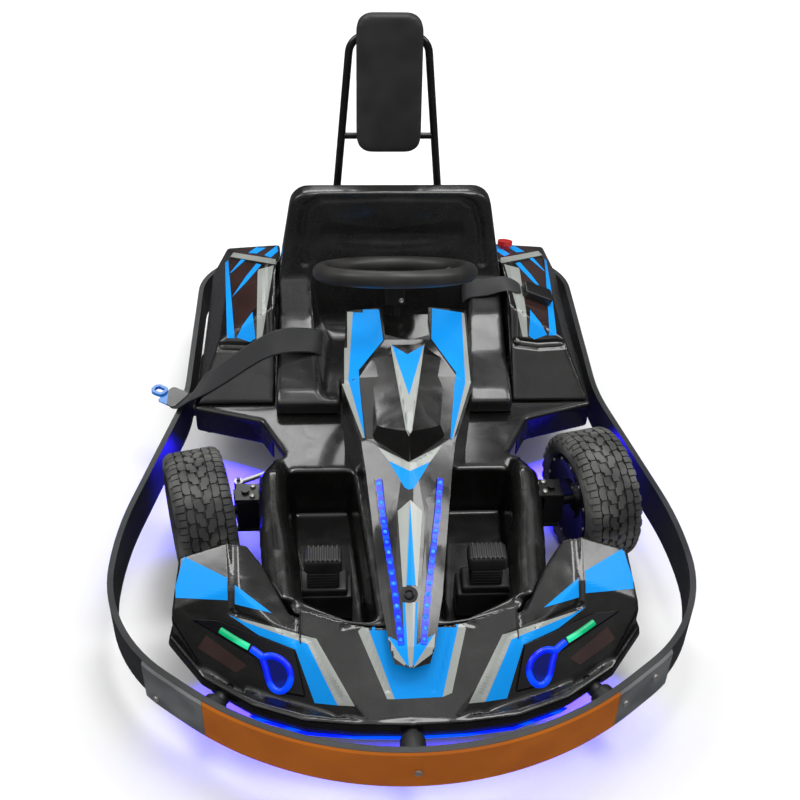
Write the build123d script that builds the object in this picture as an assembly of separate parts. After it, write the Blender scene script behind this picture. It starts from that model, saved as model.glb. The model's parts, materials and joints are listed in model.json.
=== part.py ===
from build123d import *
import os
from math import sin, cos, radians, degrees, atan2

os.makedirs("parts", exist_ok=True)

# Millimetres. +Z is up, -Y is the nose of the kart and +X is the driver's left.
# The origin is on the ground under the middle of the kart.

# Fits
seat_gap = 0.3          # between two pieces that rest on each other
running_gap = 0.05      # radial clearance of a shaft in its bearing
move_gap = 6.0          # least air beside a piece that moves

# Wheels and tyres
tyre_diameter = 280.0
front_tyre_width = 120.0
rear_tyre_width = 110.0
tyre_shoulder = 20.0
rim_diameter = 196.0
rim_wall = 5.0
disc_dish = 12.0        # how far the wheel disc sits inside the tyre's face
hub_radius = 22.0
hub_flange_radius = 42.0
hub_flange_thickness = 14.0
wheel_height = tyre_diameter / 2

# Axles
front_axle_y = -125.0
rear_axle_y = 480.0
kingpin_x = 318.0
kingpin_radius = 8.0
scrub = 95.0            # from the kingpin to the middle of a front tyre
rear_tyre_x = 331.0
axle_radius = 12.5
stub_radius = 10.0
steer_rest = 14.0       # degrees that the front wheels are turned as the kart stands

# Steering
column_tilt = 28.0      # degrees that the steering wheel's face leans from level
wheel_centre = (0.0, 222.0, 495.0)
wheel_radius = 158.0
grip_radius = 18.0
hub_drop = 30.0         # from the rim's plane down to the hub plate
column_radius = 10.0
pitman_drop = 380.0     # from the rim's plane down to the pitman arm
column_foot_drop = 412.0   # from the rim's plane down to the column's foot
cup_radius = 17.0
steer_ratio = 0.5       # how far a knuckle turns for each turn of the wheel
arm_length = 90.0
pitman_length = arm_length * steer_ratio
pitman_spread = 16.0
rod_radius = 6.0
eye_radius = 10.0
pin_radius = 4.0
hub_bolt_circle = 68.0
hub_bolt_radius = 3.25

# Frame
tube_radius = 14.0
cross_radius = 12.0
frame_height = 62.0
rail_x = 190.0
rail_front = -505.0
rail_rear = 590.0
outrigger_y = 230.0

# Bumper ring
ring_low = 90.0
ring_height = 90.0
band_thickness = 12.0
strip_thickness = 7.0
ring_side_x = 472.0
ring_front = -752.0
ring_rear = 759.3
mount_radius = 15.0
hoop_radius = 12.0
hoop_height = 108.0
hoop_inset = 128.0      # from the ring's outer face back to the hoop tube's line

# Body shells
wall = 5.0
deck_height = 200.0
tub_bottom = frame_height + tube_radius + seat_gap
well_rear = -80.0

# Seat
seat_half = 224.0

# Headrest
leg_radius = 9.0
crossbar_radius = 7.5
pad_width = 150.0
pad_height = 316.0
pad_drop = 102.0        # from the top of the tube down to the pad's middle
pad_thickness = 42.0


upward = (Align.CENTER, Align.CENTER, Align.MIN)     # a block stands on its place
ahead = (Align.CENTER, Align.MAX, Align.CENTER)      # a block lies in front of its place


def slab(points, low, high, corner=0.0):
    """A plan outline pulled up between two heights, its corners rounded."""
    face = make_face(Polyline(*points, close=True))
    if corner:
        face = fillet(face.vertices(), corner)
    return extrude(Plane.XY.offset(low) * face, high - low)


def both_sides(solid):
    return solid + mirror(solid, about=Plane.YZ)


def under(solid, a, b, c, inset=0.0):
    """Keeps what lies below the plane through three points, lowered by inset."""
    normal = (Vector(*b) - Vector(*a)).cross(Vector(*c) - Vector(*a)).normalized()
    if normal.Z < 0:
        normal = normal * -1
    plane = Plane(origin=a, x_dir=Vector(*b) - Vector(*a), z_dir=normal)
    cutter = plane.offset(-inset) * Box(4000, 4000, 1200, align=upward)
    return solid - cutter


def tube(points, radius, bends):
    """A round tube whose line is straight runs joined by arcs."""
    line = FilletPolyline(*points, radius=bends) if bends else Polyline(*points)
    start = Plane(origin=line @ 0, z_dir=line % 0)
    return sweep(start * Circle(radius), path=line)


def rod(a, b, radius):
    """A straight round bar between two points."""
    run = Vector(*b) - Vector(*a)
    return Plane(origin=a, z_dir=run) * Cylinder(radius, run.length, align=upward)


def save(solid, node):
    solids = solid.solids()
    shape = solids[0] if len(solids) == 1 else Compound(children=list(solids))
    shape.label = node
    export_step(shape, f"parts/{node}.step")


# Bumper ring: its line runs round the kart from the middle of the front
nose_radius = 650.0
nose_turn = 38.0
cheek_run = 57.0
cheek_radius = 330.0
flank_radius = 800.0
flank_turn = 13.5
hip_radius = 500.0
tail_radius = 150.0


def ring_line(inward):
    """The ring's outer face line, moved inward, as the driver's left half from nose to tail."""
    nose = JernArc((0, ring_front + inward), (1, 0), nose_radius - inward, nose_turn)
    cheek = Line(nose @ 1, nose @ 1 + (nose % 1) * cheek_run)
    curve = JernArc(cheek @ 1, cheek % 1, cheek_radius - inward, 90 - nose_turn)
    flank = JernArc(curve @ 1, curve % 1, flank_radius - inward, flank_turn)
    hip_drop = (hip_radius + inward) * (1 - cos(radians(flank_turn)))
    reach = ((flank @ 1).X - (ring_side_x - inward) - hip_drop) / sin(radians(flank_turn))
    lean = Line(flank @ 1, flank @ 1 + (flank % 1) * reach)
    hip = JernArc(lean @ 1, lean % 1, hip_radius + inward, -flank_turn)
    side = Line(hip @ 1, (ring_side_x - inward, ring_rear - tail_radius))
    tail = JernArc(side @ 1, side % 1, tail_radius - inward, 90)
    back = Line(tail @ 1, (0, ring_rear - inward))
    return [nose, cheek, curve, flank, lean, hip, side, tail, back]


def ring_face(inward):
    half = ring_line(inward)
    return make_face(Wire(half) + [mirror(edge, about=Plane.YZ) for edge in half])


def band(outer, inner, low, height):
    ring = ring_face(outer) - ring_face(inner)
    return extrude(Plane.XY.offset(low) * ring, height)


# Bumper
nose_centre_y = ring_front + nose_radius
strip_half = 368.0      # half the width of the coloured strip across the nose
plate_reach = 482.0     # how far out the end plates run
ring_inner = nose_radius - band_thickness
hoop_line = nose_radius - hoop_inset
cheek_mount_turn = 35.7
tow_spacing = 100.0
tow_hole_radius = 5.25


def on_nose(radius, turn, height):
    """A point on an arc about the nose's centre, turned from straight ahead."""
    return (radius * sin(radians(turn)), nose_centre_y - radius * cos(radians(turn)), height)


def build_bumper():
    ring = band(0, band_thickness, ring_low, ring_height)
    for x in (-tow_spacing / 2, tow_spacing / 2):
        ring -= Pos(x, ring_rear, ring_low + ring_height / 2) * Rot(90, 0, 0) * Cylinder(tow_hole_radius, 100)
    save(ring, "bumper_ring")
    strip = band(-seat_gap - strip_thickness, -seat_gap, ring_low, ring_height)
    front = Pos(0, ring_front, 0) * Box(2 * strip_half, 600, 800)
    save(strip & front, "bumper_front_strip")
    plate_width = plate_reach - strip_half - seat_gap
    cheek = Pos(strip_half + seat_gap + plate_width / 2, ring_front, 0) * Box(plate_width, 600, 800)
    save(both_sides(strip & cheek), "bumper_end_plates")

    mounts = rod(on_nose(hoop_line + hoop_radius + seat_gap, 0, hoop_height),
                 on_nose(ring_inner - seat_gap, 0, hoop_height), mount_radius)
    side = rod(on_nose(hoop_line + hoop_radius + seat_gap, cheek_mount_turn, hoop_height),
               on_nose(ring_inner - seat_gap, cheek_mount_turn, hoop_height), mount_radius)
    side += rod((outrigger_x + tube_radius + seat_gap, outrigger_y, hoop_height),
                (ring_side_x - band_thickness - seat_gap, outrigger_y, hoop_height), mount_radius)
    side += rod((rear_stay_x, rear_stay_y + tube_radius + seat_gap, hoop_height),
                (rear_stay_x, ring_rear - band_thickness - seat_gap, hoop_height), mount_radius)
    save(mounts + both_sides(side), "bumper_mounts")


# Frame of welded tubes
outrigger_x = 424.0
rear_stay_x = 250.0
rear_stay_y = 690.0
battery_front = 118.0
battery_length = 200.0
cross_ys = [rail_front + 15, front_axle_y, battery_front + 30, outrigger_y + 60, rail_rear - 15]
bracket_x = 276.0
leg_foot = (158.0, rail_rear - 15, frame_height)
leg_shoulder = (88.0, 690.0, 818.0)
socket_length = 48.0


def along(a, b, distance):
    """The point at a distance from a towards b."""
    return tuple(Vector(*a) + (Vector(*b) - Vector(*a)).normalized() * distance)


def build_frame():
    frame = rod((rail_x, rail_front, frame_height), (rail_x, rail_rear, frame_height), tube_radius)
    frame += rod((rail_x, rail_front + 8, frame_height), on_nose(hoop_line, 20.4, hoop_height), cross_radius)
    frame += rod((rail_x, outrigger_y, frame_height), (outrigger_x, outrigger_y, frame_height), cross_radius)
    frame += rod((outrigger_x, outrigger_y, frame_height - tube_radius),
                 (outrigger_x, outrigger_y, hoop_height + mount_radius), tube_radius)
    frame += rod((rail_x, rail_rear - 8, frame_height), (rear_stay_x, rear_stay_y, frame_height), cross_radius)
    frame += rod((rear_stay_x, rear_stay_y, frame_height - tube_radius),
                 (rear_stay_x, rear_stay_y, hoop_height + mount_radius), tube_radius)
    frame += rod(leg_foot, along(leg_foot, leg_shoulder, socket_length), cross_radius + 1)
    frame = both_sides(frame)
    for y in cross_ys:
        reach = bracket_x - seat_gap if y == front_axle_y else rail_x
        frame += rod((-reach, y, frame_height), (reach, y, frame_height), cross_radius)
    foot_drop = (wheel_centre[2] - frame_height) / cos(radians(column_tilt))
    foot = on_column(foot_drop)
    frame += rod((-rail_x, foot[1], frame_height), (rail_x, foot[1], frame_height), cross_radius)
    frame += rod(foot, on_column(pitman_drop + 4 + move_gap), cup_radius)
    frame -= rod(on_column(column_foot_drop + seat_gap), on_column(0), column_radius + running_gap)
    arc = CenterArc((0, nose_centre_y, hoop_height), hoop_line, 270 - 42, 84)
    frame += sweep(Plane(origin=arc @ 0, z_dir=arc % 0) * Circle(hoop_radius), path=arc)
    save(frame, "chassis_frame")


# Wheels: each is built on the Y axis line of its own hub, then put in place
def tyre(width):
    inner = rim_diameter / 2 + seat_gap
    outer = tyre_diameter / 2
    section = Plane.XY * Pos(0, (inner + outer) / 2) * Rectangle(width, outer - inner)
    section = fillet(section.vertices().group_by(Axis.Y)[-1], tyre_shoulder)
    return revolve(section, Axis.X)


def wheel_disc(width, bore, side):
    """A rim barrel with a flat disc across its inner face and a hub through the middle."""
    span = width - 2 * disc_dish
    barrel = Rot(0, 90, 0) * (Cylinder(rim_diameter / 2, span) - Cylinder(rim_diameter / 2 - rim_wall, span + 2))
    plate_x = -side * (span / 2 - 3.0)
    plate = Pos(plate_x, 0, 0) * Rot(0, 90, 0) * Cylinder(rim_diameter / 2 - 1, 6.0)
    hub = Rot(0, 90, 0) * Cylinder(hub_radius, span)
    hub += Pos(plate_x, 0, 0) * Rot(0, 90, 0) * Cylinder(hub_flange_radius, hub_flange_thickness)
    hole = Rot(0, 90, 0) * Cylinder(bore, span + 2 * hub_flange_thickness)
    return barrel + plate + hub - hole


def steer(shape, side):
    """Turns a piece about its kingpin to how the front wheels stand."""
    return Pos(side * kingpin_x, front_axle_y, 0) * Rot(0, 0, steer_rest) * shape


knuckle_half = 22.0
ear_thickness = 8.0
ear_low = 94.0
ear_high = 178.0
arm_height = 112.0
arm_thickness = 9.0
nut_length = 8.0


def build_front_corner(side, name):
    tyre_at = Pos(side * scrub, 0, wheel_height)
    save(steer(tyre_at * tyre(front_tyre_width), side), f"front_tyre_{name}")
    disc = wheel_disc(front_tyre_width, stub_radius + running_gap, side)
    save(steer(tyre_at * disc, side), f"front_wheel_{name}")

    low = ear_low + ear_thickness + seat_gap
    high = ear_high - seat_gap
    knuckle = Pos(0, 0, (low + high) / 2) * Box(2 * knuckle_half, 2 * knuckle_half, high - low)
    stub_end = scrub + front_tyre_width / 2 - disc_dish + 1.0
    knuckle += rod((0, 0, wheel_height), (side * stub_end, 0, wheel_height), stub_radius)
    knuckle += rod((side * stub_end, 0, wheel_height), (side * (stub_end + nut_length), 0, wheel_height), 15.0)
    knuckle += rod((0, 0, ear_low - 6), (0, 0, ear_high + ear_thickness + 6), kingpin_radius)
    arm = Pos(0, arm_length / 2, arm_height + arm_thickness / 2) * Box(2 * eye_radius, arm_length, arm_thickness)
    arm += Pos(0, arm_length, arm_height + arm_thickness / 2) * Cylinder(eye_radius, arm_thickness)
    arm += rod((0, arm_length, arm_height), (0, arm_length, rod_height + eye_radius + 3), pin_radius)
    save(steer(knuckle + arm, side), f"knuckle_{name}")

    inboard = Pos(side * kingpin_x, front_axle_y, 0)
    reach = kingpin_x - bracket_x
    ear = Pos(-side * (reach / 2 - 10), 0, 0) * Box(reach + 20, 48, ear_thickness, align=upward)
    bracket = Pos(0, 0, ear_low) * ear + Pos(0, 0, ear_high) * ear
    back_low = frame_height - tube_radius
    back_high = ear_high + ear_thickness
    bracket += Pos(-side * (reach - ear_thickness / 2), 0, back_low) * Box(
        ear_thickness, 48, back_high - back_low, align=upward)
    bracket -= Cylinder(kingpin_radius + running_gap, 1000)
    save(inboard * bracket, f"kingpin_bracket_{name}")


# Tie rods run from the knuckle arms to the pitman arm
rod_height = arm_height + arm_thickness + eye_radius * 0.6 + 1.0
down = (0.0, -sin(radians(column_tilt)), -cos(radians(column_tilt)))
back = (0.0, cos(radians(column_tilt)), -sin(radians(column_tilt)))
wheel_rest = steer_rest / steer_ratio


def on_column(drop, aside=0.0, rearward=0.0):
    """A point by the column, dropped from the rim's plane, before the wheel is turned."""
    x, y, z = wheel_centre
    return (x + aside, y + down[1] * drop + back[1] * rearward, z + down[2] * drop + back[2] * rearward)


column_axis = Axis(wheel_centre, tuple(-v for v in down))


def knuckle_eye(side):
    turn = radians(steer_rest)
    return (side * kingpin_x - arm_length * sin(turn), front_axle_y + arm_length * cos(turn), rod_height)


def pitman_eye(side):
    point = Pos(*on_column(pitman_drop, side * pitman_spread, pitman_length)) * Sphere(1)
    centre = point.rotate(column_axis, wheel_rest).center()
    return (centre.X, centre.Y, centre.Z + eye_radius + 14.0)


def build_tie_rod(side, name):
    a = knuckle_eye(side)
    b = pitman_eye(side)
    eye = Pos(*a) * Cylinder(eye_radius, 1.2 * eye_radius)
    joint = rod(along(a, b, eye_radius - 2), along(b, a, eye_radius - 2), rod_radius)
    end = Pos(*b) * Sphere(eye_radius)
    tie = eye + joint + end - Pos(*a) * Cylinder(pin_radius + running_gap, 60)
    save(tie, f"tie_rod_{name}")


# Steering wheel and column
def build_steering():
    face = Plane(origin=wheel_centre, x_dir=(1, 0, 0), z_dir=tuple(-v for v in down))
    rim = face * Torus(wheel_radius, grip_radius)
    save(rim.rotate(column_axis, wheel_rest), "steering_grip")

    plate = face.offset(-hub_drop) * Cylinder(46, 6)
    spokes = plate
    for turn in (0, 180, 270):
        foot = (34 * cos(radians(turn)), 34 * sin(radians(turn)), -hub_drop)
        reach = wheel_radius - grip_radius / 2
        tip = (reach * cos(radians(turn)), reach * sin(radians(turn)), 0)
        spokes += face * rod(foot, tip, 5.0)
    spokes -= face * Torus(wheel_radius, grip_radius + seat_gap)
    for turn in (30, 150, 270):
        hole = Pos(hub_bolt_circle / 2 * cos(radians(turn)), hub_bolt_circle / 2 * sin(radians(turn)), 0)
        spokes -= face.offset(-hub_drop) * hole * Cylinder(hub_bolt_radius, 20)
    save(spokes.rotate(column_axis, wheel_rest), "steering_spokes")

    column = rod(on_column(hub_drop + 3 + seat_gap), on_column(column_foot_drop), column_radius)
    column += rod(on_column(hub_drop + 3 + seat_gap), on_column(hub_drop + 40), 22.0)
    arm = face.offset(-pitman_drop) * Pos(0, -pitman_length / 2, 0) * Box(
        2 * (pitman_spread + eye_radius), pitman_length + 2 * eye_radius, 7.0)
    save((column + arm).rotate(column_axis, wheel_rest), "steering_column")


# Rear axle
def build_rear():
    axle_end = rear_tyre_x + rear_tyre_width / 2 - disc_dish + 10
    axle = rod((-axle_end, rear_axle_y, wheel_height), (axle_end, rear_axle_y, wheel_height), axle_radius)
    save(axle, "rear_axle")
    for side, name in ((1, "left"), (-1, "right")):
        place = Pos(side * rear_tyre_x, rear_axle_y, wheel_height)
        save(place * tyre(rear_tyre_width), f"rear_tyre_{name}")
        save(place * wheel_disc(rear_tyre_width, axle_radius + running_gap, side), f"rear_wheel_{name}")
    bearing = Pos(rail_x, rear_axle_y, frame_height + tube_radius + seat_gap) * Box(
        26, 64, 94, align=upward)
    bearing -= Pos(rail_x, rear_axle_y, wheel_height) * Rot(0, 90, 0) * Cylinder(axle_radius + running_gap, 60)
    save(both_sides(bearing), "axle_bearings")

    seat_z = frame_height + cross_radius + seat_gap
    motor = Pos(0, rear_axle_y, wheel_height) * Rot(0, 90, 0) * Cylinder(50, 190)
    motor += Pos(0, (rear_axle_y + rail_rear) / 2, seat_z) * Box(
        110, rail_rear - rear_axle_y, 46, align=upward)
    motor -= Pos(0, rear_axle_y, wheel_height) * Rot(0, 90, 0) * Cylinder(axle_radius + move_gap, 400)
    save(motor, "drive_motor")
    pack = Pos(0, battery_front + battery_length / 2, seat_z) * Box(
        300, battery_length, 105, align=upward)
    save(pack, "battery_pack")


# Tub: a tray with two foot wells
arch_front_y = -42.0
well_points = [(96, well_rear), (232, well_rear), (226, -210), (204, -320), (196, -430), (110, -478), (58, -485)]
well_corner = 16.0
well_draft = 4.0        # degrees that the wells' walls lean outwards
# Humps over the steering knuckles: y, inner edge, crest, height of the crest, outer edge
hump_rows = [
    (-56, 240, 252, 206, 268),
    (-110, 230, 260, 230, 291),
    (-200, 227, 257, 227, 289),
    (-310, 207, 248, 219, 282),
    (-440, 199, 236, 216, 268),
]
hump_low = 196.0
tub_half = [(0, -495), (66, -495), (113, -487), (213, -460), (260, -374), (264, arch_front_y),
            (238, arch_front_y + 12), (292, 80), (442, 128), (442, 328), (262, 328), (262, 560), (0, 560)]


def mirrored_outline(half):
    return half + [(-x, y) for x, y in reversed(half) if x]


def hump_section(row):
    y, inner, crest, crest_z, outer = row
    roof = ThreePointArc((inner, y, hump_low), (crest, y, crest_z), (outer, y, hump_low))
    return make_face(Wire([roof.edge(), Line((outer, y, hump_low), (inner, y, hump_low)).edge()]))


def build_tub():
    outline = make_face(Polyline(*mirrored_outline(tub_half), close=True))
    skirt = 130.0
    tub = extrude(Plane.XY.offset(skirt) * outline, deck_height - skirt)
    inside = offset(outline, -wall, kind=Kind.INTERSECTION)
    tub -= extrude(Plane.XY.offset(skirt - 1) * inside, deck_height - wall - skirt + 1)
    well = make_face(Polyline(*well_points, close=True))
    well = Plane.XY.offset(deck_height) * fillet(well.vertices(), well_corner)
    grown = offset(well, wall, kind=Kind.ARC)
    pan = extrude(grown, deck_height - tub_bottom, dir=(0, 0, -1), taper=well_draft)
    hollow = extrude(well, deck_height - tub_bottom - wall, dir=(0, 0, -1), taper=well_draft)
    tub += both_sides(pan)
    hump = loft([hump_section(row) for row in hump_rows], ruled=True)
    tub += both_sides(hump - extrude(offset(cowl_outline(), seat_gap, kind=Kind.INTERSECTION), 400))
    tub -= both_sides(hollow + extrude(well, 1.0))
    window = Pos(257, (-172 + 30) / 2, 118) * Box(70, 202, 62, align=upward)
    tub -= both_sides(window - pan)
    axle_slot = Pos(262, rear_axle_y, 120) * Box(60, 2 * (axle_radius + move_gap), 50, align=upward)
    tub -= both_sides(axle_slot)
    hole = rod(on_column(100), on_column(pitman_drop), column_radius + move_gap)
    tub -= hole
    save(tub, "tub")


# Front cowl: the wings over the front wheels, the nose between them, a beaded lip and the apron below
wing_half = [(190, -641), (283, -606), (372, -545), (438, -456), (430, -345), (300, -345),
             (266, -386), (219, -470), (190, -478)]
nose_half = [(0, -656), (100, -652), (200, -637), (200, -476), (114, -498), (66, -506), (0, -506)]
cowl_low = 124.0
wing_top = ((420, -347, 235), (330, -417, 250), (435, -421, 205))
wing_inner = ((318, -435, 248), (250, -475, 220), (316, -473, 240))
lamp_face = ((395, -463, 195), (215, -540, 190), (190, -610, 133))
nose_face = ((56, -470, 230), (104, -512, 210), (43, -622, 150))
# Beads of the lip: how far each stands out, its foot and top, and how far in it reaches past the shell
lip_beads = [(9, 125, 134, 0), (4, 121, 125, 0), (11, 110, 121, 10)]
# Plan of what lies ahead of the body, where the lip and apron run
lip_rear = -425.0
lip_zone = [(0, -560), (150, -560), (340, -480), (400, lip_rear), (600, lip_rear), (600, -900), (0, -900)]
apron_inset = 10.0
apron_low = 66.0
apron_rear = -532.0
glow_size = 4.0


def raised(outline, faces, inset, low):
    shape = make_face(Polyline(*outline, close=True))
    if inset > 0:
        shape = offset(shape, -inset, kind=Kind.INTERSECTION)
    solid = extrude(Plane.XY.offset(low) * shape, 400)
    for a, b, c in faces:
        solid = under(solid, a, b, c, inset)
    return solid


def cowl_outline():
    """The plan of wings and nose together."""
    front = nose_half[:2] + wing_half[:-1]
    return make_face(Polyline(*mirrored_outline(front + [(114, -498), (66, -506), (0, -506)]), close=True))


def cowl_ring(outer, inner, low, high, rear):
    """A wall between two offsets of the cowl's plan and two heights, ahead of a line."""
    plan = cowl_outline()
    ring = offset(plan, outer, kind=Kind.INTERSECTION) - offset(plan, inner, kind=Kind.INTERSECTION)
    block = extrude(Plane.XY.offset(low) * ring, high - low) & slab(mirrored_outline(lip_zone), 0, 400)
    return block & Pos(0, rear, 0) * Box(2000, 1000, 2000, align=ahead)


def nose_solid(lift):
    plan = extrude(Plane.XY * make_face(Polyline(*nose_half, close=True)), 600)
    return both_sides(under(under(plan, *lamp_face, -lift), *nose_face, -lift))


def build_cowl():
    outer = both_sides(raised(wing_half, (wing_top, wing_inner, lamp_face), 0, cowl_low))
    outer += both_sides(raised(nose_half, (lamp_face, nose_face), 0, cowl_low))
    inner = both_sides(raised(wing_half, (wing_top, wing_inner, lamp_face), wall, cowl_low - 1))
    inner += both_sides(raised(nose_half, (lamp_face, nose_face), wall, cowl_low - 1))
    cowl = outer - inner
    for grow, low, high, reach in lip_beads:
        cowl += cowl_ring(grow, -wall - reach, low, high, lip_rear)
    cowl += cowl_ring(-apron_inset, -apron_inset - wall, apron_low, lip_beads[-1][1], apron_rear)
    for turn in (0, cheek_mount_turn, -cheek_mount_turn):
        cowl -= rod(on_nose(hoop_line, turn, hoop_height), on_nose(nose_radius, turn, hoop_height), mount_radius + 1)
    save(cowl, "front_cowl")

    plan = cowl_outline()
    track = offset(plan, seat_gap + glow_size - apron_inset, kind=Kind.INTERSECTION)
    track -= offset(plan, seat_gap - apron_inset, kind=Kind.INTERSECTION)
    strip = extrude(Plane.XY.offset(apron_low + 2) * track, glow_size)
    save(strip & Pos(0, apron_rear - 60, 0) * Box(2000, 1000, 2000, align=ahead),
         "underglow_strip")


# Console: cross sections from the steering wheel to the tip of the nose
# y, half width at the base, half width and height at the edge, at the inner crease, height at the middle
console_sections = [
    (172, 110, 128, 428, 55, 436, 436),
    (70, 122, 131, 404, 47, 428, 428),
    (-19, 128, 135, 384, 100, 400, 404),
    (-137, 86, 94, 332, 84, 338, 340),
    (-209, 76, 84, 312, 12, 342, 343),
    (-312, 62, 73, 288, 27, 303, 306),
    (-466, 48, 57, 246, 16, 250, 252),
    (-560, 34, 40, 214, 13, 218, 220),
    (-652, 4, 6, 160, 3, 164, 165),
]
# Hood that stands on the console: y, half width and height at the spine, at the shoulder and at the foot
hood_sections = [
    (66, 33, 424, 38, 420, 46, 395),
    (26, 30, 426, 76, 412, 92, 380),
    (-123, 8, 397, 63, 362, 82, 325),
    (-215, 2, 376, 57, 331, 76, 295),
]
hood_cliff = ((63, -123, 362), (0, -175, 385), (0, -209, 345))
console_aside = 23.0    # how far the console's rear end sits to the driver's left
console_low = deck_height + seat_gap
recess_floor = 418.0
recess_half = 48.0


def aside(y):
    front, rear = console_sections[-1][0], console_sections[0][0]
    return console_aside * (y - front) / (rear - front)


def cross_section(y, half):
    """A face across the kart from (x, z) points on its left half, set over to the console's line."""
    points = half + [(-x, z) for x, z in reversed(half) if x]
    return make_face(Polyline(*[(x + aside(y), y, z) for x, z in points], close=True))


def console_body(inset):
    faces = []
    for y, base, edge, edge_z, crease, crease_z, middle_z in console_sections:
        base = max(base - inset, 1.0)
        edge = max(edge - inset, 1.5)
        crease = max(crease - inset * 0.4, 0.8)
        place = y
        if inset and y == console_sections[0][0]:
            place = y - inset
        if inset and y == console_sections[-1][0]:
            place = y + 6 * inset
        low = 150 - inset * 4
        faces.append(cross_section(place, [(base, low), (edge, edge_z - inset), (crease, crease_z - inset),
                                           (0, middle_z - inset)]))
    return loft(faces, ruled=True)


def console_hood(inset):
    faces = []
    for y, spine, spine_z, shoulder, shoulder_z, foot, foot_z in hood_sections:
        faces.append(cross_section(y, [(foot - inset, foot_z - inset), (shoulder - inset, shoulder_z - inset),
                                       (max(spine - inset, 0.8), spine_z - inset)]))
    hood = loft(faces, ruled=True)
    for side in (1, -1):
        a, b, c = [(side * x + aside(y), y, z) for x, y, z in hood_cliff]
        hood = under(hood, a, b, c, inset)
    return hood


def recess(grow):
    """The well between the console's two wings, in front of the steering column."""
    middle = aside(120)
    half = recess_half + grow
    outline = [(half, 400), (half, 86 - grow), (0, 68 - grow), (-half, 86 - grow), (-half, 400)]
    return extrude(Plane.XY.offset(recess_floor - grow) * make_face(
        Polyline(*[(x + middle, y) for x, y in outline], close=True)), 200)


def build_console():
    outer = console_body(0) + console_hood(0) - recess(0)
    inner = console_body(wall) + console_hood(wall) - recess(wall)
    cover = outer - inner
    cover -= Pos(0, 0, console_low) * Box(2000, 1600, 400, align=(Align.CENTER, Align.CENTER, Align.MAX))
    cover -= nose_solid(seat_gap)
    cover -= rod(on_column(0), on_column(pitman_drop), column_radius + move_gap)
    save(cover, "console_cover")


# Side pods over the rear wheels
pod_half = [(264, 134), (438, 134), (442, 645), (264, 645)]
pod_faces = [
    ((271, 454, 357), (381, 563, 312), (369, 238, 308)),
    ((271, 454, 357), (381, 563, 312), (300, 645, 290)),
    ((300, 238, 300), (400, 238, 300), (400, 134, 205)),
    ((381, 240, 312), (381, 560, 312), (438, 240, 202)),
]


def build_pods():
    low = deck_height + seat_gap
    outer = raised(pod_half, pod_faces, 0, low)
    inner = raised(pod_half, pod_faces, wall, low - 1)
    pod = outer - inner
    save(pod, "side_pod_left")
    save(mirror(pod, about=Plane.YZ), "side_pod_right")


# Seat: a bucket cut from three outlines, seen from the side (y, z), the front (x, z) and above (x, y)
seat_side = [(98, 0), (98, 232), (130, 246), (240, 262), (330, 300), (400, 360), (438, 440),
             (456, 548), (502, 548), (492, 0)]
seat_front = [(seat_half, 548), (258, 352), (266, 0)]
bowl_side = [(60, 800), (60, 238), (376, 224), (440, 560), (440, 800)]
bowl_front = [(212, 800), (205, 520), (166, 224)]
bowl_plan = [(215, 40), (215, 448)]
seat_shoulder = 45.0    # radius of the back's top corners
bowl_corner = 55.0
seat_wall = 6.0


def side_prism(profile, grow, corner=0.0, corners=()):
    face = make_face(Polyline(*[(0, y, z) for y, z in profile], close=True))
    if corner:
        face = fillet([v for v in face.vertices() if (round(v.Y), round(v.Z)) in corners], corner)
    if grow:
        face = offset(face, grow, kind=Kind.INTERSECTION)
    return extrude(face, 400, dir=(1, 0, 0), both=True)


def front_prism(half, grow, corner, corners):
    face = make_face(Polyline(*[(x, 0, z) for x, z in half + [(-x, z) for x, z in reversed(half)]], close=True))
    face = fillet([v for v in face.vertices() if round(v.Z) in corners], corner)
    if grow:
        face = offset(face, grow, kind=Kind.INTERSECTION)
    return extrude(face, 900, dir=(0, 1, 0), both=True)


def plan_prism(half, grow, corner):
    face = make_face(Polyline(*mirrored_outline(half), close=True))
    face = fillet(face.vertices(), corner)
    if grow:
        face = offset(face, grow, kind=Kind.INTERSECTION)
    return extrude(face, 900)


def seat_bowl(grow):
    bowl = side_prism(bowl_side, grow, 60, [(376, 224)])
    bowl &= front_prism(bowl_front, grow, bowl_corner, [224])
    return bowl & plan_prism(bowl_plan, grow, bowl_corner)


def build_seat():
    outer = side_prism(seat_side, 0) & front_prism(seat_front, 0, seat_shoulder, [548])
    outer -= Box(2000, 2000, 2 * (deck_height + seat_gap))
    cavity = side_prism(seat_side, -seat_wall) & front_prism(seat_front, -seat_wall, seat_shoulder, [548])
    middle = aside(140)
    notch = Pos(middle, 0, 300) * Box(2 * 137, 2 * 180, 2000)
    save(outer - seat_bowl(0) - (cavity - seat_bowl(seat_wall)) - notch, "seat_shell")


# Rear cover behind the seat
rear_half = [(0, 513), (258, 513), (258, 655), (0, 655)]
rear_faces = [((0, 513, 345), (100, 513, 345), (0, 655, 285))]


def build_rear_cover():
    low = deck_height + seat_gap
    cover = both_sides(raised(rear_half, rear_faces, 0, low)) - both_sides(raised_inner_rear(low))
    cut = rod(leg_foot, leg_shoulder, leg_radius + seat_gap)
    save(cover - both_sides(cut), "rear_cover")


def raised_inner_rear(low):
    half = [(-1, 513 + wall), (258 - wall, 513 + wall), (258 - wall, 655 - wall), (-1, 655 - wall)]
    solid = extrude(Plane.XY.offset(low - 1) * make_face(Polyline(*half, close=True)), 400)
    for a, b, c in rear_faces:
        solid = under(solid, a, b, c, wall)
    return solid


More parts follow.
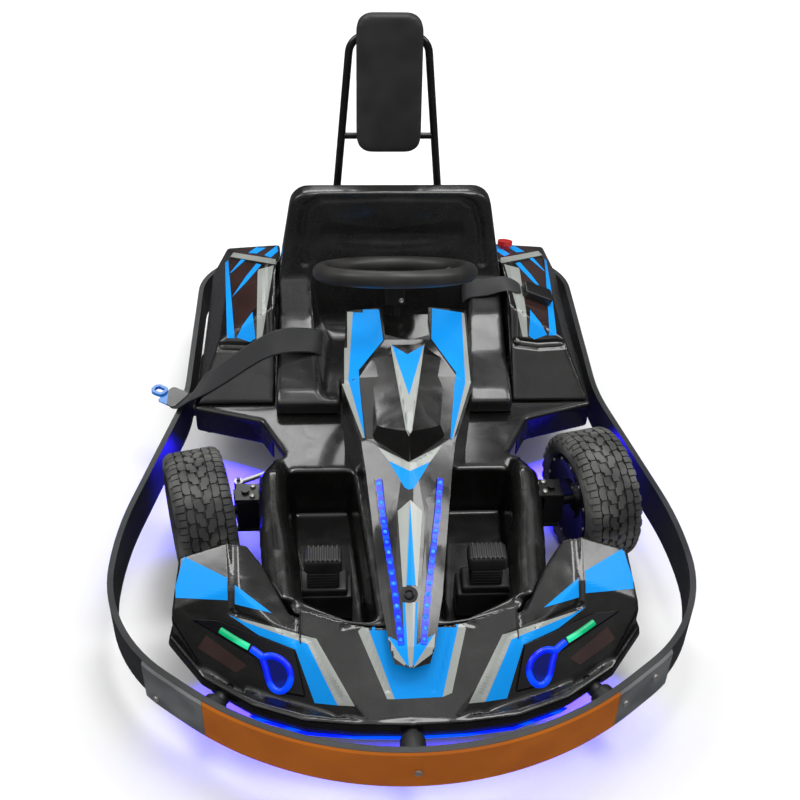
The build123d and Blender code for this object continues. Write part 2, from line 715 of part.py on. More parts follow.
# Headrest
def build_headrest():
    foot = along(leg_foot, leg_shoulder, socket_length + seat_gap)
    right = (-foot[0], foot[1], foot[2])
    shoulder = (-leg_shoulder[0], leg_shoulder[1], leg_shoulder[2])
    frame = tube([foot, leg_shoulder, shoulder, right], leg_radius, 42)
    bar = along(leg_shoulder, leg_foot, 235)
    frame += rod((-bar[0], bar[1], bar[2]), bar, crossbar_radius)
    save(frame, "headrest_frame")
    lean = degrees(atan2(leg_shoulder[1] - leg_foot[1], leg_shoulder[2] - leg_foot[2]))
    middle = along(leg_shoulder, leg_foot, pad_drop)
    facing = (0, -cos(radians(lean)), sin(radians(lean)))
    back_plane = Plane(origin=(0, middle[1], middle[2]), x_dir=(1, 0, 0), z_dir=facing)
    face = fillet(Rectangle(pad_width, pad_height).vertices(), 34)
    pad = extrude(back_plane.offset(leg_radius + seat_gap) * face, pad_thickness)
    save(pad, "headrest_pad")


# Lamps on the cowl
lamp_outline = [(395, -468), (350, -478), (210, -542), (192, -604), (250, -586), (279, -538)]
lamp_thickness = 4.0


def build_lamps():
    for side, name in ((1, "left"), (-1, "right")):
        block = slab(lamp_outline, 90, 300)
        lamp = under(block, *lamp_face, -seat_gap - lamp_thickness) - under(block, *lamp_face, -seat_gap)
        save(lamp if side == 1 else mirror(lamp, about=Plane.YZ), f"headlight_{name}")


# Light bars along the console's lower flanks: y, distance from the middle
bar_line = [(-232, 60), (-312, 52), (-466, 30), (-556, 20)]
bar_half = 5.5
bar_thickness = 3.0


def flank_height(x, y):
    """The console's height at a distance from its middle line, between the crease and the edge."""
    for first, second in zip(console_sections, console_sections[1:]):
        y1, _, e1, ez1, c1, cz1, _ = first
        y2, _, e2, ez2, c2, cz2, _ = second
        if y2 <= y <= y1:
            t = (y1 - y) / (y1 - y2)
            edge, edge_z = e1 + (e2 - e1) * t, ez1 + (ez2 - ez1) * t
            crease, crease_z = c1 + (c2 - c1) * t, cz1 + (cz2 - cz1) * t
            return crease_z + (edge_z - crease_z) * (x - crease) / (edge - crease)


def build_light_bars():
    bars = []
    for side in (1, -1):
        faces = []
        for y, x in bar_line:
            inner, outer = x - bar_half, x + bar_half
            low = [(at, flank_height(at, y) + 2 * seat_gap) for at in (inner, outer)]
            high = [(x, z + bar_thickness) for x, z in reversed(low)]
            faces.append(make_face(Polyline(*[(side * x + aside(y), y, z) for x, z in low + high], close=True)))
        bars.append(loft(faces, ruled=True))
    save(bars[0] + bars[1], "console_lights")


# Pedals: a box bracket on the well's floor, a bellows and a cap
pedal_x = 157.0
pedal_y = -362.0
pedal_width = 66.0
pedal_depth = 50.0
pedal_high = 58.0
pedal_wall = 4.0
bellows_folds = 8
bellows_pitch = 10.0


def build_pedal(x, name):
    floor = tub_bottom + wall + seat_gap
    foot = Pos(x, pedal_y, floor)
    base = foot * Box(pedal_width, pedal_depth, pedal_high, align=upward)
    base -= foot * Pos(0, 0, pedal_wall) * Box(pedal_width - 2 * pedal_wall, pedal_depth - 2 * pedal_wall, pedal_high,
                                               align=upward)
    collar = foot * Pos(0, 0, pedal_high - 4) * Box(pedal_width + 6, pedal_depth + 4, 10,
                                                    align=upward)
    stalk = Plane(origin=(x, pedal_y, floor + pedal_high), x_dir=(1, 0, 0), z_dir=(0, 0.26, 0.966))
    profile = [(0, 0), (24, 0)]
    for fold in range(bellows_folds):
        profile += [(24, 4 + fold * bellows_pitch), (19, 9 + fold * bellows_pitch)]
    top = 6 + bellows_folds * bellows_pitch
    profile += [(19, top), (0, top)]
    boot = revolve(make_face(Polyline(*[(r, 0, h) for r, h in profile], close=True)), Axis.Z)
    cap = Pos(0, 0, top - 0.1) * extrude(RectangleRounded(74, 42, 12), 17)
    save(base + collar + stalk * (boot + cap), name)


def build_button():
    a, b, c = pod_faces[1]
    normal = (Vector(*b) - Vector(*a)).cross(Vector(*c) - Vector(*a)).normalized()
    if normal.Z < 0:
        normal = normal * -1
    x, y = 292.0, 600.0
    z = a[2] - (normal.X * (x - a[0]) + normal.Y * (y - a[1])) / normal.Z
    face = Plane(origin=(x, y, z), z_dir=normal)
    collar = face.offset(seat_gap) * Cylinder(13, 8, align=upward)
    cap = face.offset(seat_gap + 8) * Cylinder(18, 12, align=upward)
    save(collar + cap, "stop_button")


# Lap belt: the long strap over the driver's right, the short strap and buckle over the left
strap_thickness = 2.4
long_strap_half = 31.0
short_strap_half = 22.0
# x, y and z of the strap's middle, then the direction across it
long_strap = [
    (-158, 268, 260, 0.10, 0.92, 0.38),
    (-169, 266, 279, 0.10, 0.92, 0.38),
    (-200, 259, 286, 0.12, 0.90, 0.42),
    (-268, 236, 304, 0.20, 0.72, 0.66),
    (-335, 203, 274, 0.20, 0.72, 0.66),
    (-412, 166, 240, 0.20, 0.72, 0.66),
    (-440, 156, 232, 0.45, 0.78, 0.43),
    (-466, 166, 181.6, 0.537, 0.844, 0),
    (-488, 180, 181.6, 0.537, 0.844, 0),
]
short_strap = [
    (167, 376, 322, 0, 0.80, 0.60),
    (177, 376, 345, 0, 0.80, 0.60),
    (224, 373, 345, 0, 0.80, 0.60),
    (262, 371, 365, 0, 0.97, 0.25),
    (300, 369, 346, 0, 1, 0.05),
]


def strap(rows, half):
    faces = []
    for row, after in zip(rows, rows[1:] + [None]):
        middle = Vector(*row[:3])
        across = Vector(*row[3:]).normalized()
        if after:
            run = Vector(*after[:3]) - middle
        thick = run.cross(across).normalized() * (strap_thickness / 2)
        corners = [middle + across * half + thick, middle - across * half + thick,
                   middle - across * half - thick, middle + across * half - thick]
        faces.append(make_face(Polyline(*corners, close=True)))
    return loft(faces, ruled=True)


def build_belt():
    save(strap(long_strap, long_strap_half) + strap(short_strap, short_strap_half), "belt_straps")
    a, b, c = pod_faces[0]
    normal = (Vector(*b) - Vector(*a)).cross(Vector(*c) - Vector(*a)).normalized()
    if normal.Z < 0:
        normal = normal * -1
    x, y = 336.0, 366.0
    z = a[2] - (normal.X * (x - a[0]) + normal.Y * (y - a[1])) / normal.Z
    face = Plane(origin=(x, y, z), x_dir=Vector(1, 0, 0), z_dir=normal).offset(seat_gap)
    case = extrude(RectangleRounded(72, 46, 9), 19)
    case = fillet(case.faces().sort_by(Axis.Z)[-1].edges(), 4)
    save(face * case, "belt_buckle")

    tail = Vector(*long_strap[-1][:3])
    run = (tail - Vector(*long_strap[-2][:3])).normalized()
    grip = Plane(origin=tail + run * 8 + Vector(0, 0, strap_thickness / 2 + seat_gap), x_dir=run, z_dir=(0, 0, 1))
    tongue = extrude(RectangleRounded(46, 58, 8), 3.0)
    tongue += Pos(38, 0, 0) * extrude(RectangleRounded(36, 30, 12) - RectangleRounded(22, 16, 6), 8.0)
    save(grip * tongue, "belt_tongue")


build_bumper()
build_frame()
build_front_corner(1, "left")
build_front_corner(-1, "right")
build_tie_rod(1, "left")
build_tie_rod(-1, "right")
build_steering()
build_rear()
build_tub()
build_cowl()
build_console()
build_pods()
build_seat()
build_rear_cover()
build_headrest()
build_lamps()
build_light_bars()
build_pedal(-pedal_x, "throttle_pedal")
build_pedal(pedal_x, "brake_pedal")
build_button()
build_belt()
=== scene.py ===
import json
from math import radians, sin, cos, pi, sqrt

import bpy
import bmesh
from mathutils import Vector, Matrix
from mathutils.bvhtree import BVHTree
from mathutils.kdtree import KDTree


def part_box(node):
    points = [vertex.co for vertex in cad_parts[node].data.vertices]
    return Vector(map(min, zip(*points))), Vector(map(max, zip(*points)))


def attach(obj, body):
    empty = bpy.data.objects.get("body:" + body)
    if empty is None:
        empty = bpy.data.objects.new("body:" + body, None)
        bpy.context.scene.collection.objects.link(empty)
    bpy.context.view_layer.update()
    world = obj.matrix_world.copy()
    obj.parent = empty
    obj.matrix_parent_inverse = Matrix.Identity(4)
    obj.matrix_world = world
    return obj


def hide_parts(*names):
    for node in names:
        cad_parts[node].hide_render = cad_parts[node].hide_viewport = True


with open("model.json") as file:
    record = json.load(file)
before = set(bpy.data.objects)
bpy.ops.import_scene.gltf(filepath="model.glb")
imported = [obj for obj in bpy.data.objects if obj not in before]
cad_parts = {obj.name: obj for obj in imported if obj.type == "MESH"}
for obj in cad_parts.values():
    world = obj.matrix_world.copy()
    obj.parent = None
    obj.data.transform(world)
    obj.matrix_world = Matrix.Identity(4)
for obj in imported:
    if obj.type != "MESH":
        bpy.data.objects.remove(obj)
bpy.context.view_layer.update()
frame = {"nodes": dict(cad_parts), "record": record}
nodes = frame["nodes"]
joints = {j["name"]: j for j in frame["record"]["behaviour"]["joints"]}
print("frame loaded:", len(nodes), "nodes")

view = {
    "place": Vector((-0.1269, -1.928, 1.9472)),
    "pitch": radians(40.036),
    "yaw": radians(3.887),
    "roll": radians(1.848),
    "focal": 1212,       # pixels across an 800 pixel picture
    "picture": 800,
    "sensor": 36,
    "near": 0.05,
    "far": 100,
}


def addObject(name, data):
    obj = bpy.data.objects.new(name, data)
    bpy.context.scene.collection.objects.link(obj)
    return obj


def cameraAxes():
    pitch, yaw, roll = view["pitch"], view["yaw"], view["roll"]
    forward = Vector((sin(yaw) * cos(pitch), cos(yaw) * cos(pitch), -sin(pitch)))
    right = Vector((cos(yaw), -sin(yaw), 0))
    up = right.cross(forward)
    return forward, cos(roll) * right + sin(roll) * up, -sin(roll) * right + cos(roll) * up


def makeCamera():
    forward, right, up = cameraAxes()
    data = bpy.data.cameras.new("photoCamera")
    data.sensor_width = view["sensor"]
    data.lens = view["focal"] / view["picture"] * view["sensor"]
    data.clip_start, data.clip_end = view["near"], view["far"]
    data.dof.use_dof = False
    camera = addObject("photoCamera", data)
    turn = Matrix((right, up, -forward)).transposed()
    camera.matrix_world = Matrix.Translation(view["place"]) @ turn.to_4x4()
    bpy.context.scene.camera = camera


def photoRay(u, v):
    # direction from the camera through a point of the photo
    forward, right, up = cameraAxes()
    half = view["picture"] / 2
    return (forward * view["focal"] + right * (u - half) + up * (half - v)).normalized()


makeCamera()

studio = {
    "floorSize": 64,
    "floorColour": (0.95, 0.95, 0.95, 1),
    "floorMirrored": (0.05, 0.05, 0.055, 1),
    "floorRough": 0.9,
    "floorSpecular": 0.1,
    "backdrop": 0.72,
    "fill": 0.76,
    "glowSpread": radians(80),
    # height of the direction, then how bright the hall is there in reflections
    "hall": [(0, 0.02), (0.46, 0.03), (0.6, 0.05), (0.76, 0.14), (0.88, 0.46), (1, 0.85)],
    # patches of light on the hall, as noise and as strength
    "patchScale": 4.5,
    "patchFrom": (0.4, 0.62),
    "patchTo": (0.16, 1.9),
    # name: place, aim, width, height, watts, colour
    "lamps": {
        "keyBox": ((0.6, 0.5, 4.2), (0, 0, 0), 2.2, 1.1, 52, (1, 1, 1)),
        "leftBox": ((-2.8, 0.8, 3.2), (0, 0, 0.2), 0.8, 2, 30, (1, 1, 1)),
        "rightBox": ((2.8, 0.4, 3.2), (0, 0, 0.2), 0.8, 2, 30, (1, 1, 1)),
        "backBox": ((-0.4, 3.6, 3.2), (0, 0, 0.3), 2.2, 0.8, 28, (1, 1, 1)),
        "glowFront": ((0, -0.6, 0.06), (0, -0.66, 0), 0.56, 0.02, 0.4, (0.03, 0.01, 1)),
        "glowFrontLeft": ((0.3, -0.5, 0.06), (0.34, -0.55, 0), 0.14, 0.02, 0.26, (0.03, 0.01, 1)),
        "glowFrontRight": ((-0.3, -0.5, 0.06), (-0.34, -0.55, 0), 0.14, 0.02, 0.26, (0.03, 0.01, 1)),
        "glowLeft": ((0.37, 0.1, 0.09), (0.42, -0.02, 0), 0.1, 0.16, 1.6, (0.02, 0.01, 1)),
        "glowRight": ((-0.37, 0.1, 0.09), (-0.42, -0.02, 0), 0.1, 0.16, 1.6, (0.02, 0.01, 1)),
    },
}


def paint(obj, material):
    obj.data.materials.clear()
    obj.data.materials.append(material)


def newTree(name):
    material = bpy.data.materials.new(name)
    material.use_nodes = True
    tree = material.node_tree
    return material, tree, tree.nodes["Principled BSDF"]


def setInputs(node, values):
    for label, value in values.items():
        node.inputs[label].default_value = value
    return node


def addNode(tree, kind):
    return tree.nodes.new("ShaderNode" + kind)


def link(start, end):
    start.id_data.links.new(start, end)


def addMath(operation, source, second=None):
    # second is a number or another node's output
    made = addNode(source.id_data, "Math")
    made.operation = operation
    link(source, made.inputs[0])
    if isinstance(second, (int, float)):
        made.inputs[1].default_value = second
    elif second is not None:
        link(second, made.inputs[1])
    return made.outputs[0]


def addRange(source, fromRange=(0, 1), toRange=(0, 1)):
    made = addNode(source.id_data, "MapRange")
    setInputs(made, {"From Min": fromRange[0], "From Max": fromRange[1],
                     "To Min": toRange[0], "To Max": toRange[1]})
    link(source, made.inputs["Value"])
    return made.outputs["Result"]


def addBump(height, strength, distance):
    made = setInputs(addNode(height.id_data, "Bump"), {"Strength": strength, "Distance": distance})
    link(height, made.inputs["Height"])
    return made


def alongAxis(source, axis):
    split = addNode(source.id_data, "SeparateXYZ")
    link(source, split.inputs["Vector"])
    return split.outputs[axis]


def makeWorld():
    # the eye sees a pale backdrop; gloss mirrors a dim hall with a bright ceiling
    world = bpy.data.worlds.new("studioWorld")
    world.use_nodes = True
    bpy.context.scene.world = world
    tree = world.node_tree
    white = (1, 1, 1, 1)
    fill = setInputs(tree.nodes["Background"], {"Color": white, "Strength": studio["fill"]})
    backdrop = setInputs(addNode(tree, "Background"), {"Color": white, "Strength": studio["backdrop"]})
    hall = addNode(tree, "Background")
    coords = addNode(tree, "TexCoord").outputs["Generated"]
    level = addRange(alongAxis(coords, "Z"), (-1, 1))
    ramp = addNode(tree, "ValToRGB")
    stops = ramp.color_ramp.elements
    while len(stops) < len(studio["hall"]):
        stops.new(0.5)
    for stop, (height, bright) in zip(stops, studio["hall"]):
        stop.position = height
        stop.color = (bright, bright, bright, 1)
    clouds = setInputs(addNode(tree, "TexNoise"), {"Scale": studio["patchScale"]})
    patches = addRange(clouds.outputs["Fac"], studio["patchFrom"], studio["patchTo"])
    rays = addNode(tree, "LightPath")
    seen = addNode(tree, "MixShader")
    glossy = addNode(tree, "MixShader")
    for start, end in (
        (coords, clouds.inputs["Vector"]),
        (level, ramp.inputs["Fac"]),
        (ramp.outputs["Color"], hall.inputs["Color"]),
        (patches, hall.inputs["Strength"]),
        (rays.outputs["Is Glossy Ray"], glossy.inputs[0]),
        (fill.outputs[0], glossy.inputs[1]),
        (hall.outputs[0], glossy.inputs[2]),
        (rays.outputs["Is Camera Ray"], seen.inputs[0]),
        (glossy.outputs[0], seen.inputs[1]),
        (backdrop.outputs[0], seen.inputs[2]),
        (seen.outputs[0], tree.nodes["World Output"].inputs["Surface"]),
    ):
        link(start, end)


def makeStudio():
    bm = bmesh.new()
    bmesh.ops.create_grid(bm, x_segments=1, y_segments=1, size=studio["floorSize"] / 2)
    mesh = bpy.data.meshes.new("studioFloor")
    bm.to_mesh(mesh)
    bm.free()
    floor = addObject("studioFloor", mesh)
    material, tree, shader = newTree("floorPaper")
    setInputs(shader, {"Roughness": studio["floorRough"], "Specular IOR Level": studio["floorSpecular"]})
    rays = addNode(tree, "LightPath")
    mirrored = addNode(tree, "Mix")
    mirrored.data_type = "RGBA"
    setInputs(mirrored, {6: studio["floorColour"], 7: studio["floorMirrored"]})
    link(rays.outputs["Is Glossy Ray"], mirrored.inputs["Factor"])
    link(mirrored.outputs[2], shader.inputs["Base Color"])
    paint(floor, material)
    makeWorld()
    for name, (spot, aim, width, height, watts, colour) in studio["lamps"].items():
        lamp = bpy.data.lights.new(name, "AREA")
        lamp.shape = "RECTANGLE"
        lamp.size, lamp.size_y, lamp.energy, lamp.color = width, height, watts, colour
        if name.startswith("glowFront"):
            lamp.spread = studio["glowSpread"]
        holder = addObject(name, lamp)
        holder.location = spot
        holder.rotation_euler = (Vector(aim) - Vector(spot)).to_track_quat("-Z", "Y").to_euler()


makeStudio()
bpy.context.scene.view_settings.view_transform = "Standard"
print("camera and studio ready")

grainLook = {
    "grainDetail": 3,
    "patchDetail": 1,
    "fleckFrom": (0.32, 0.12),
    "patchFrom": (0.38, 0.66),
    "fleckScale": 520,
    "patchScale": 14,
    "relief": 0.0004,               # metres
    "roughSpread": (-0.04, 0.05),   # either side of a finish's roughness
    "roughLeast": 0.02,
    "edgeSamples": 4,
}


def makeGrainGroup():
    # fine grain for bump, bright flecks and slow patches, in the piece's own metres
    tree = bpy.data.node_groups.new("surfaceGrain", "ShaderNodeTree")
    for label in ("Grain Scale", "Fleck Scale", "Patch Scale"):
        tree.interface.new_socket(name=label, in_out="INPUT", socket_type="NodeSocketFloat")
    for label in ("Height", "Fleck", "Patch"):
        tree.interface.new_socket(name=label, in_out="OUTPUT", socket_type="NodeSocketFloat")
    given = tree.nodes.new("NodeGroupInput")
    out = tree.nodes.new("NodeGroupOutput")
    coords = addNode(tree, "TexCoord")
    grain = setInputs(addNode(tree, "TexNoise"), {"Detail": grainLook["grainDetail"]})
    dots = addNode(tree, "TexVoronoi")
    patch = setInputs(addNode(tree, "TexNoise"), {"Detail": grainLook["patchDetail"]})
    for node, label in ((grain, "Grain Scale"), (dots, "Fleck Scale"), (patch, "Patch Scale")):
        link(coords.outputs["Object"], node.inputs["Vector"])
        link(given.outputs[label], node.inputs["Scale"])
    fleck = addRange(dots.outputs["Distance"], grainLook["fleckFrom"])
    spread = addRange(patch.outputs["Fac"], grainLook["patchFrom"])
    link(grain.outputs["Fac"], out.inputs["Height"])
    link(fleck, out.inputs["Fleck"])
    link(spread, out.inputs["Patch"])
    return tree


grainGroup = makeGrainGroup()

finishes = {
    # colour or grey, second one, fleck, patch, metallic, roughness, coat, coat roughness, grain scale,
    # bump, edge in mm
    "body_plastic": ((0.007, 0.0065, 0.006), (0.14, 0.135, 0.13), 0.25, 0.02, 0.3, 0.25, 0.85, 0.09, 900,
                     0.22, 0),
    # seat plastic: the same dark flecked plastic as the body, with its base colour and fleck share doubled as
    # painted sheen, standing in for the grey reflection on the seat back
    "seat_plastic": ((0.014, 0.014, 0.0135), (0.15, 0.152, 0.15), 0.5, 0.02, 0.3, 0.28, 0.75, 0.11, 900,
                     0.22, 0),
    "frame_paint": (0.006, 0.02, 0, 0.3, 0, 0.26, 0.5, 0.1, 500, 0.06, 1),
    "band_rubber": ((0.013, 0.014, 0.015), (0.045, 0.047, 0.05), 0.1, 0.3, 0, 0.42, 0.15, 0.3, 500, 0.3, 1.6),
    "strip_brown": ((0.32, 0.078, 0), (0.42, 0.115, 0), 0, 0.35, 0, 0.58, 0, 0.25, 500, 0.08, 1.5),
    "plate_grey": ((0.075, 0.082, 0.085), (0.17, 0.18, 0.18), 0.1, 0.5, 0, 0.42, 0.1, 0.3, 500, 0.14, 1.5),
    "mount_rubber": (0.012, 0.03, 0, 0.4, 0, 0.45, 0.1, 0.3, 600, 0.12, 1.5),
    "tyre_rubber": ((0.04, 0.041, 0.04), (0.17, 0.17, 0.16), 0, 0.65, 0, 0.6, 0, 0.3, 700, 0.6, 0),
    "wheel_black": ((0.005, 0.005, 0.006), 0.02, 0, 0.2, 0, 0.16, 0.8, 0.06, 300, 0.02, 1),
    "bright_steel": ((0.72, 0.7, 0.66), (0.5, 0.49, 0.47), 0, 0.4, 0.9, 0.42, 0, 0.3, 900, 0.05, 0.6),
    "grip_foam": ((0.018, 0.017, 0.016), (0.05, 0.048, 0.046), 0.3, 0.4, 0, 0.46, 0.2, 0.35, 800, 0.35, 0),
    "black_metal": (0.01, 0.03, 0, 0.4, 0.3, 0.3, 0.3, 0.15, 500, 0.08, 1.2),
    "pad_cover": ((0.022, 0.02, 0.0195), (0.044, 0.041, 0.04), 0.3, 0.4, 0, 0.55, 0.05, 0.4, 900, 0.45, 0),
    "lamp_lens": ((0.004, 0.004, 0.006), (0.01, 0.01, 0.02), 0, 0.3, 0, 0.05, 1, 0.02, 200, 0, 1),
    "pedal_rubber": (0.01, 0.035, 0, 0.4, 0, 0.42, 0.15, 0.3, 700, 0.15, 1.5),
    "button_red": ((0.6, 0.012, 0.012), (0.75, 0.03, 0.03), 0, 0.3, 0, 0.28, 0.5, 0.1, 300, 0.03, 1.5),
    "motor_cast": ((0.1, 0.1, 0.105), 0.18, 0.4, 0.5, 0.8, 0.5, 0, 0.3, 700, 0.4, 2),
    "battery_case": ((0.015, 0.015, 0.018), 0.04, 0, 0.4, 0, 0.5, 0, 0.3, 600, 0.12, 2),
    "belt_webbing": ((0.008, 0.008, 0.009), (0.03, 0.03, 0.034), 0, 0.3, 0, 0.62, 0, 0.3, 700, 0.2, 0),
    "tongue_blue": ((0.01, 0.17, 0.55), (0.02, 0.24, 0.7), 0, 0.3, 0, 0.3, 0.4, 0.1, 300, 0.03, 0.8),
    "buckle_black": (0.01, 0.03, 0, 0.4, 0, 0.36, 0.2, 0.2, 700, 0.12, 0.8),
    # films and inserts that only the scene has
    "azureFilm": ((0, 0.31, 0.9), (0, 0.36, 0.97), 0, 0.25, 0, 0.4, 0.05, 0.1, 700, 0.02, 0),
    "silverFilm": ((0.34, 0.36, 0.335), (0.44, 0.46, 0.44), 0.3, 0.3, 0.1, 0.38, 0.3, 0.1, 700, 0.02, 0),
    "smokeFilm": ((0.035, 0.016, 0.014), (0.06, 0.03, 0.026), 0.2, 0.4, 0.1, 0.22, 0.8, 0.05, 700, 0.02, 0),
    "blackGloss": ((0.003, 0.003, 0.004), 0.008, 0, 0.3, 0, 0.22, 0.5, 0.12, 300, 0, 0),
}
# rotational moulding leaves the skin slightly wavy: strength, and depth in metres
moulded = {"finishes": ("body_plastic", "seat_plastic"), "wave": 0.6, "waveDepth": 0.003}
# saturated, with little sheen
dull = {"finishes": ("strip_brown", "azureFilm"), "specular": 0.15}


def mixColour(factor, share, first, second):
    # first and second are colours, greys or other nodes' outputs
    mix = addNode(factor.id_data, "Mix")
    mix.data_type = "RGBA"
    link(addMath("MULTIPLY", factor, share), mix.inputs["Factor"])
    for value, label in ((first, 6), (second, 7)):
        if isinstance(value, float):
            value = (value, value, value)
        if isinstance(value, tuple):
            mix.inputs[label].default_value = (*value, 1)
        else:
            link(value, mix.inputs[label])
    return mix.outputs[2]


def makeFinish(name, colour, second, fleck, patch, metallic, rough, coat, coatRough, scale, bump, edge):
    material, tree, shader = newTree(name)
    setInputs(shader, {"Metallic": metallic, "Coat Weight": coat, "Coat Roughness": coatRough})
    if name in dull["finishes"]:
        setInputs(shader, {"Specular IOR Level": dull["specular"]})
    grain = addNode(tree, "Group")
    grain.node_tree = grainGroup
    setInputs(grain, {"Grain Scale": scale, "Fleck Scale": grainLook["fleckScale"],
                      "Patch Scale": grainLook["patchScale"]})
    patched = mixColour(grain.outputs["Patch"], patch, colour, second)
    flecked = mixColour(grain.outputs["Fleck"], fleck, patched, second)
    link(flecked, shader.inputs["Base Color"])
    low, high = [rough + change for change in grainLook["roughSpread"]]
    spread = addRange(grain.outputs["Patch"], toRange=(max(low, grainLook["roughLeast"]), high))
    link(spread, shader.inputs["Roughness"])
    if bump or edge:
        relief = addBump(grain.outputs["Height"], bump, grainLook["relief"])
        link(relief.outputs["Normal"], shader.inputs["Normal"])
        if name in moulded["finishes"]:
            waves = addBump(grain.outputs["Patch"], moulded["wave"], moulded["waveDepth"])
            link(waves.outputs["Normal"], relief.inputs["Normal"])
        if edge:
            softEdge = setInputs(addNode(tree, "Bevel"), {"Radius": edge / 1000})
            softEdge.samples = grainLook["edgeSamples"]
            link(softEdge.outputs["Normal"], relief.inputs["Normal"])
    return material


glows = {
    # name: colour, brighter colour, strength, spacing of the diodes in metres
    "light_blue_glow": ((0, 0.012, 1), (0, 0.07, 1), 1.4, 0.0225),
    "diodeGlow": ((0, 0.16, 1), (0.03, 0.3, 1), 1.3, 0.05),
    "dimGlow": ((0, 0.003, 0.1), (0, 0.01, 0.22), 1, 0.05),
    "greenGlow": ((0, 0.42, 0.16), (0.03, 0.8, 0.4), 0.9, 0.06),
    "blueGlow": ((0, 0.012, 0.7), (0, 0.07, 1), 1, 0.05),
}
glowSkin = {"share": 0.3, "rough": 0.2}     # how much of the light's colour the surface has


def makeGlow(name, colour, bright, strength, spacing):
    # a lit strip with brighter spots where its diodes sit, spaced along Y
    material, tree, shader = newTree(name)
    setInputs(shader, {"Base Color": (*[c * glowSkin["share"] for c in colour], 1),
                       "Roughness": glowSkin["rough"], "Emission Strength": strength})
    along = alongAxis(addNode(tree, "TexCoord").outputs["Object"], "Y")
    wave = addMath("SINE", addMath("MULTIPLY", along, 2 * pi / spacing))
    spots = addRange(wave)
    spots.node.interpolation_type = "SMOOTHERSTEP"
    lit = mixColour(spots, 1, colour, bright)
    link(lit, shader.inputs["Emission Color"])
    return material


materials = {name: makeFinish(name, *values) for name, values in finishes.items()}
materials.update({name: makeGlow(name, *values) for name, values in glows.items()})
tongue = {"loopEnds": -0.507, "plate": (0.007, 0.007, 0.008)}     # metres, and a colour


def splitTongue(material):
    # the loop is dipped in blue up to its neck and the plate stays dark
    tree = material.node_tree
    shader = tree.nodes["Principled BSDF"]
    loop = shader.inputs["Base Color"].links[0].from_socket
    across = alongAxis(addNode(tree, "TexCoord").outputs["Object"], "X")
    beyond = addMath("GREATER_THAN", across, tongue["loopEnds"])
    link(mixColour(beyond, 1, loop, tongue["plate"]), shader.inputs["Base Color"])


splitTongue(materials["tongue_blue"])
for part in frame["record"]["subparts"]:
    paint(nodes[part["node"]], materials[part["material_slot"]])
slotOf = {part["node"]: part["material_slot"] for part in frame["record"]["subparts"]}
bodyOf = {node: body for body, names in frame["record"]["behaviour"]["bodies"].items() for node in names}
print("finishes made")


def place(name, bm, finish, node, smooth=True, replaced=()):
    # turns a bmesh into a piece that rides with a CAD node's body
    mesh = bpy.data.meshes.new(name)
    bm.to_mesh(mesh)
    bm.free()
    mesh.polygons.foreach_set("use_smooth", [smooth] * len(mesh.polygons))
    obj = addObject(name, mesh)
    paint(obj, materials[finish])
    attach(obj, bodyOf[node])
    if replaced:
        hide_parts(*replaced)
    return obj


def opened(mesh):
    bm = bmesh.new()
    bm.from_mesh(mesh)
    return bm


weld = 0.00002      # metres


def cadCopy(node):
    bm = opened(nodes[node].data)
    bmesh.ops.remove_doubles(bm, verts=bm.verts, dist=weld)
    return bm


def addTo(bm, piece):
    # joins piece to bm and lets piece go
    mesh = bpy.data.meshes.new("joined")
    piece.to_mesh(mesh)
    piece.free()
    bm.from_mesh(mesh)
    bpy.data.meshes.remove(mesh)


def faceOutward(bm):
    bmesh.ops.recalc_face_normals(bm, faces=bm.faces)


def roundEdges(bm, edges, radius, segments, clamped=False):
    bmesh.ops.bevel(bm, geom=edges, offset=radius, affect="EDGES", segments=segments, profile=0.5,
                    material=-1, clamp_overlap=clamped)


def everything(bm):
    return bm.verts[:] + bm.edges[:] + bm.faces[:]


def addTwin(bm):
    # the same again on the kart's other side
    bmesh.ops.mirror(bm, geom=everything(bm), axis="X", merge_dist=-1)
    faceOutward(bm)


def aimed(where, start, direction):
    # takes what was made along start to its place and direction
    turn = Vector(start).rotation_difference(Vector(direction)).to_matrix().to_4x4()
    return Matrix.Translation(where) @ turn


def sharpen(piece, angle):
    piece.data.set_sharp_from_angle(angle=radians(angle))


def smoothen(piece):
    piece.data.polygons.foreach_set("use_smooth", [True] * len(piece.data.polygons))


def treeOf(obj):
    bm = opened(obj.data)
    tree = BVHTree.FromBMesh(bm)
    bm.free()
    return tree


def finalMesh(obj):
    return bpy.data.meshes.new_from_object(obj.evaluated_get(bpy.context.evaluated_depsgraph_get()))


def bake(obj):
    # the mesh that an object's modifiers give, put in its place
    mesh = finalMesh(obj)
    obj.modifiers.clear()
    old, obj.data = obj.data, mesh
    bpy.data.meshes.remove(old)


def addSkin(piece, voxel):
    skin = piece.modifiers.new("skin", "REMESH")
    skin.mode = "VOXEL"
    skin.voxel_size = voxel


def refine(piece, rounds):
    fine = piece.modifiers.new("fine", "SUBSURF")
    fine.levels = fine.render_levels = rounds


def onlyKind(made, kind):
    return [g for g in made if isinstance(g, kind)]


shells = {
    # node: voxel in mm, rounds of smoothing, share of the faces kept
    "tub": (3, 34, 0.33),
    "seat_shell": (3, 60, 0.33),
    "front_cowl": (2.4, 16, 0.33),
    "side_pod_left": (2.6, 44, 0.36),
    "side_pod_right": (2.6, 44, 0.36),
    "rear_cover": (3, 26, 0.36),
}
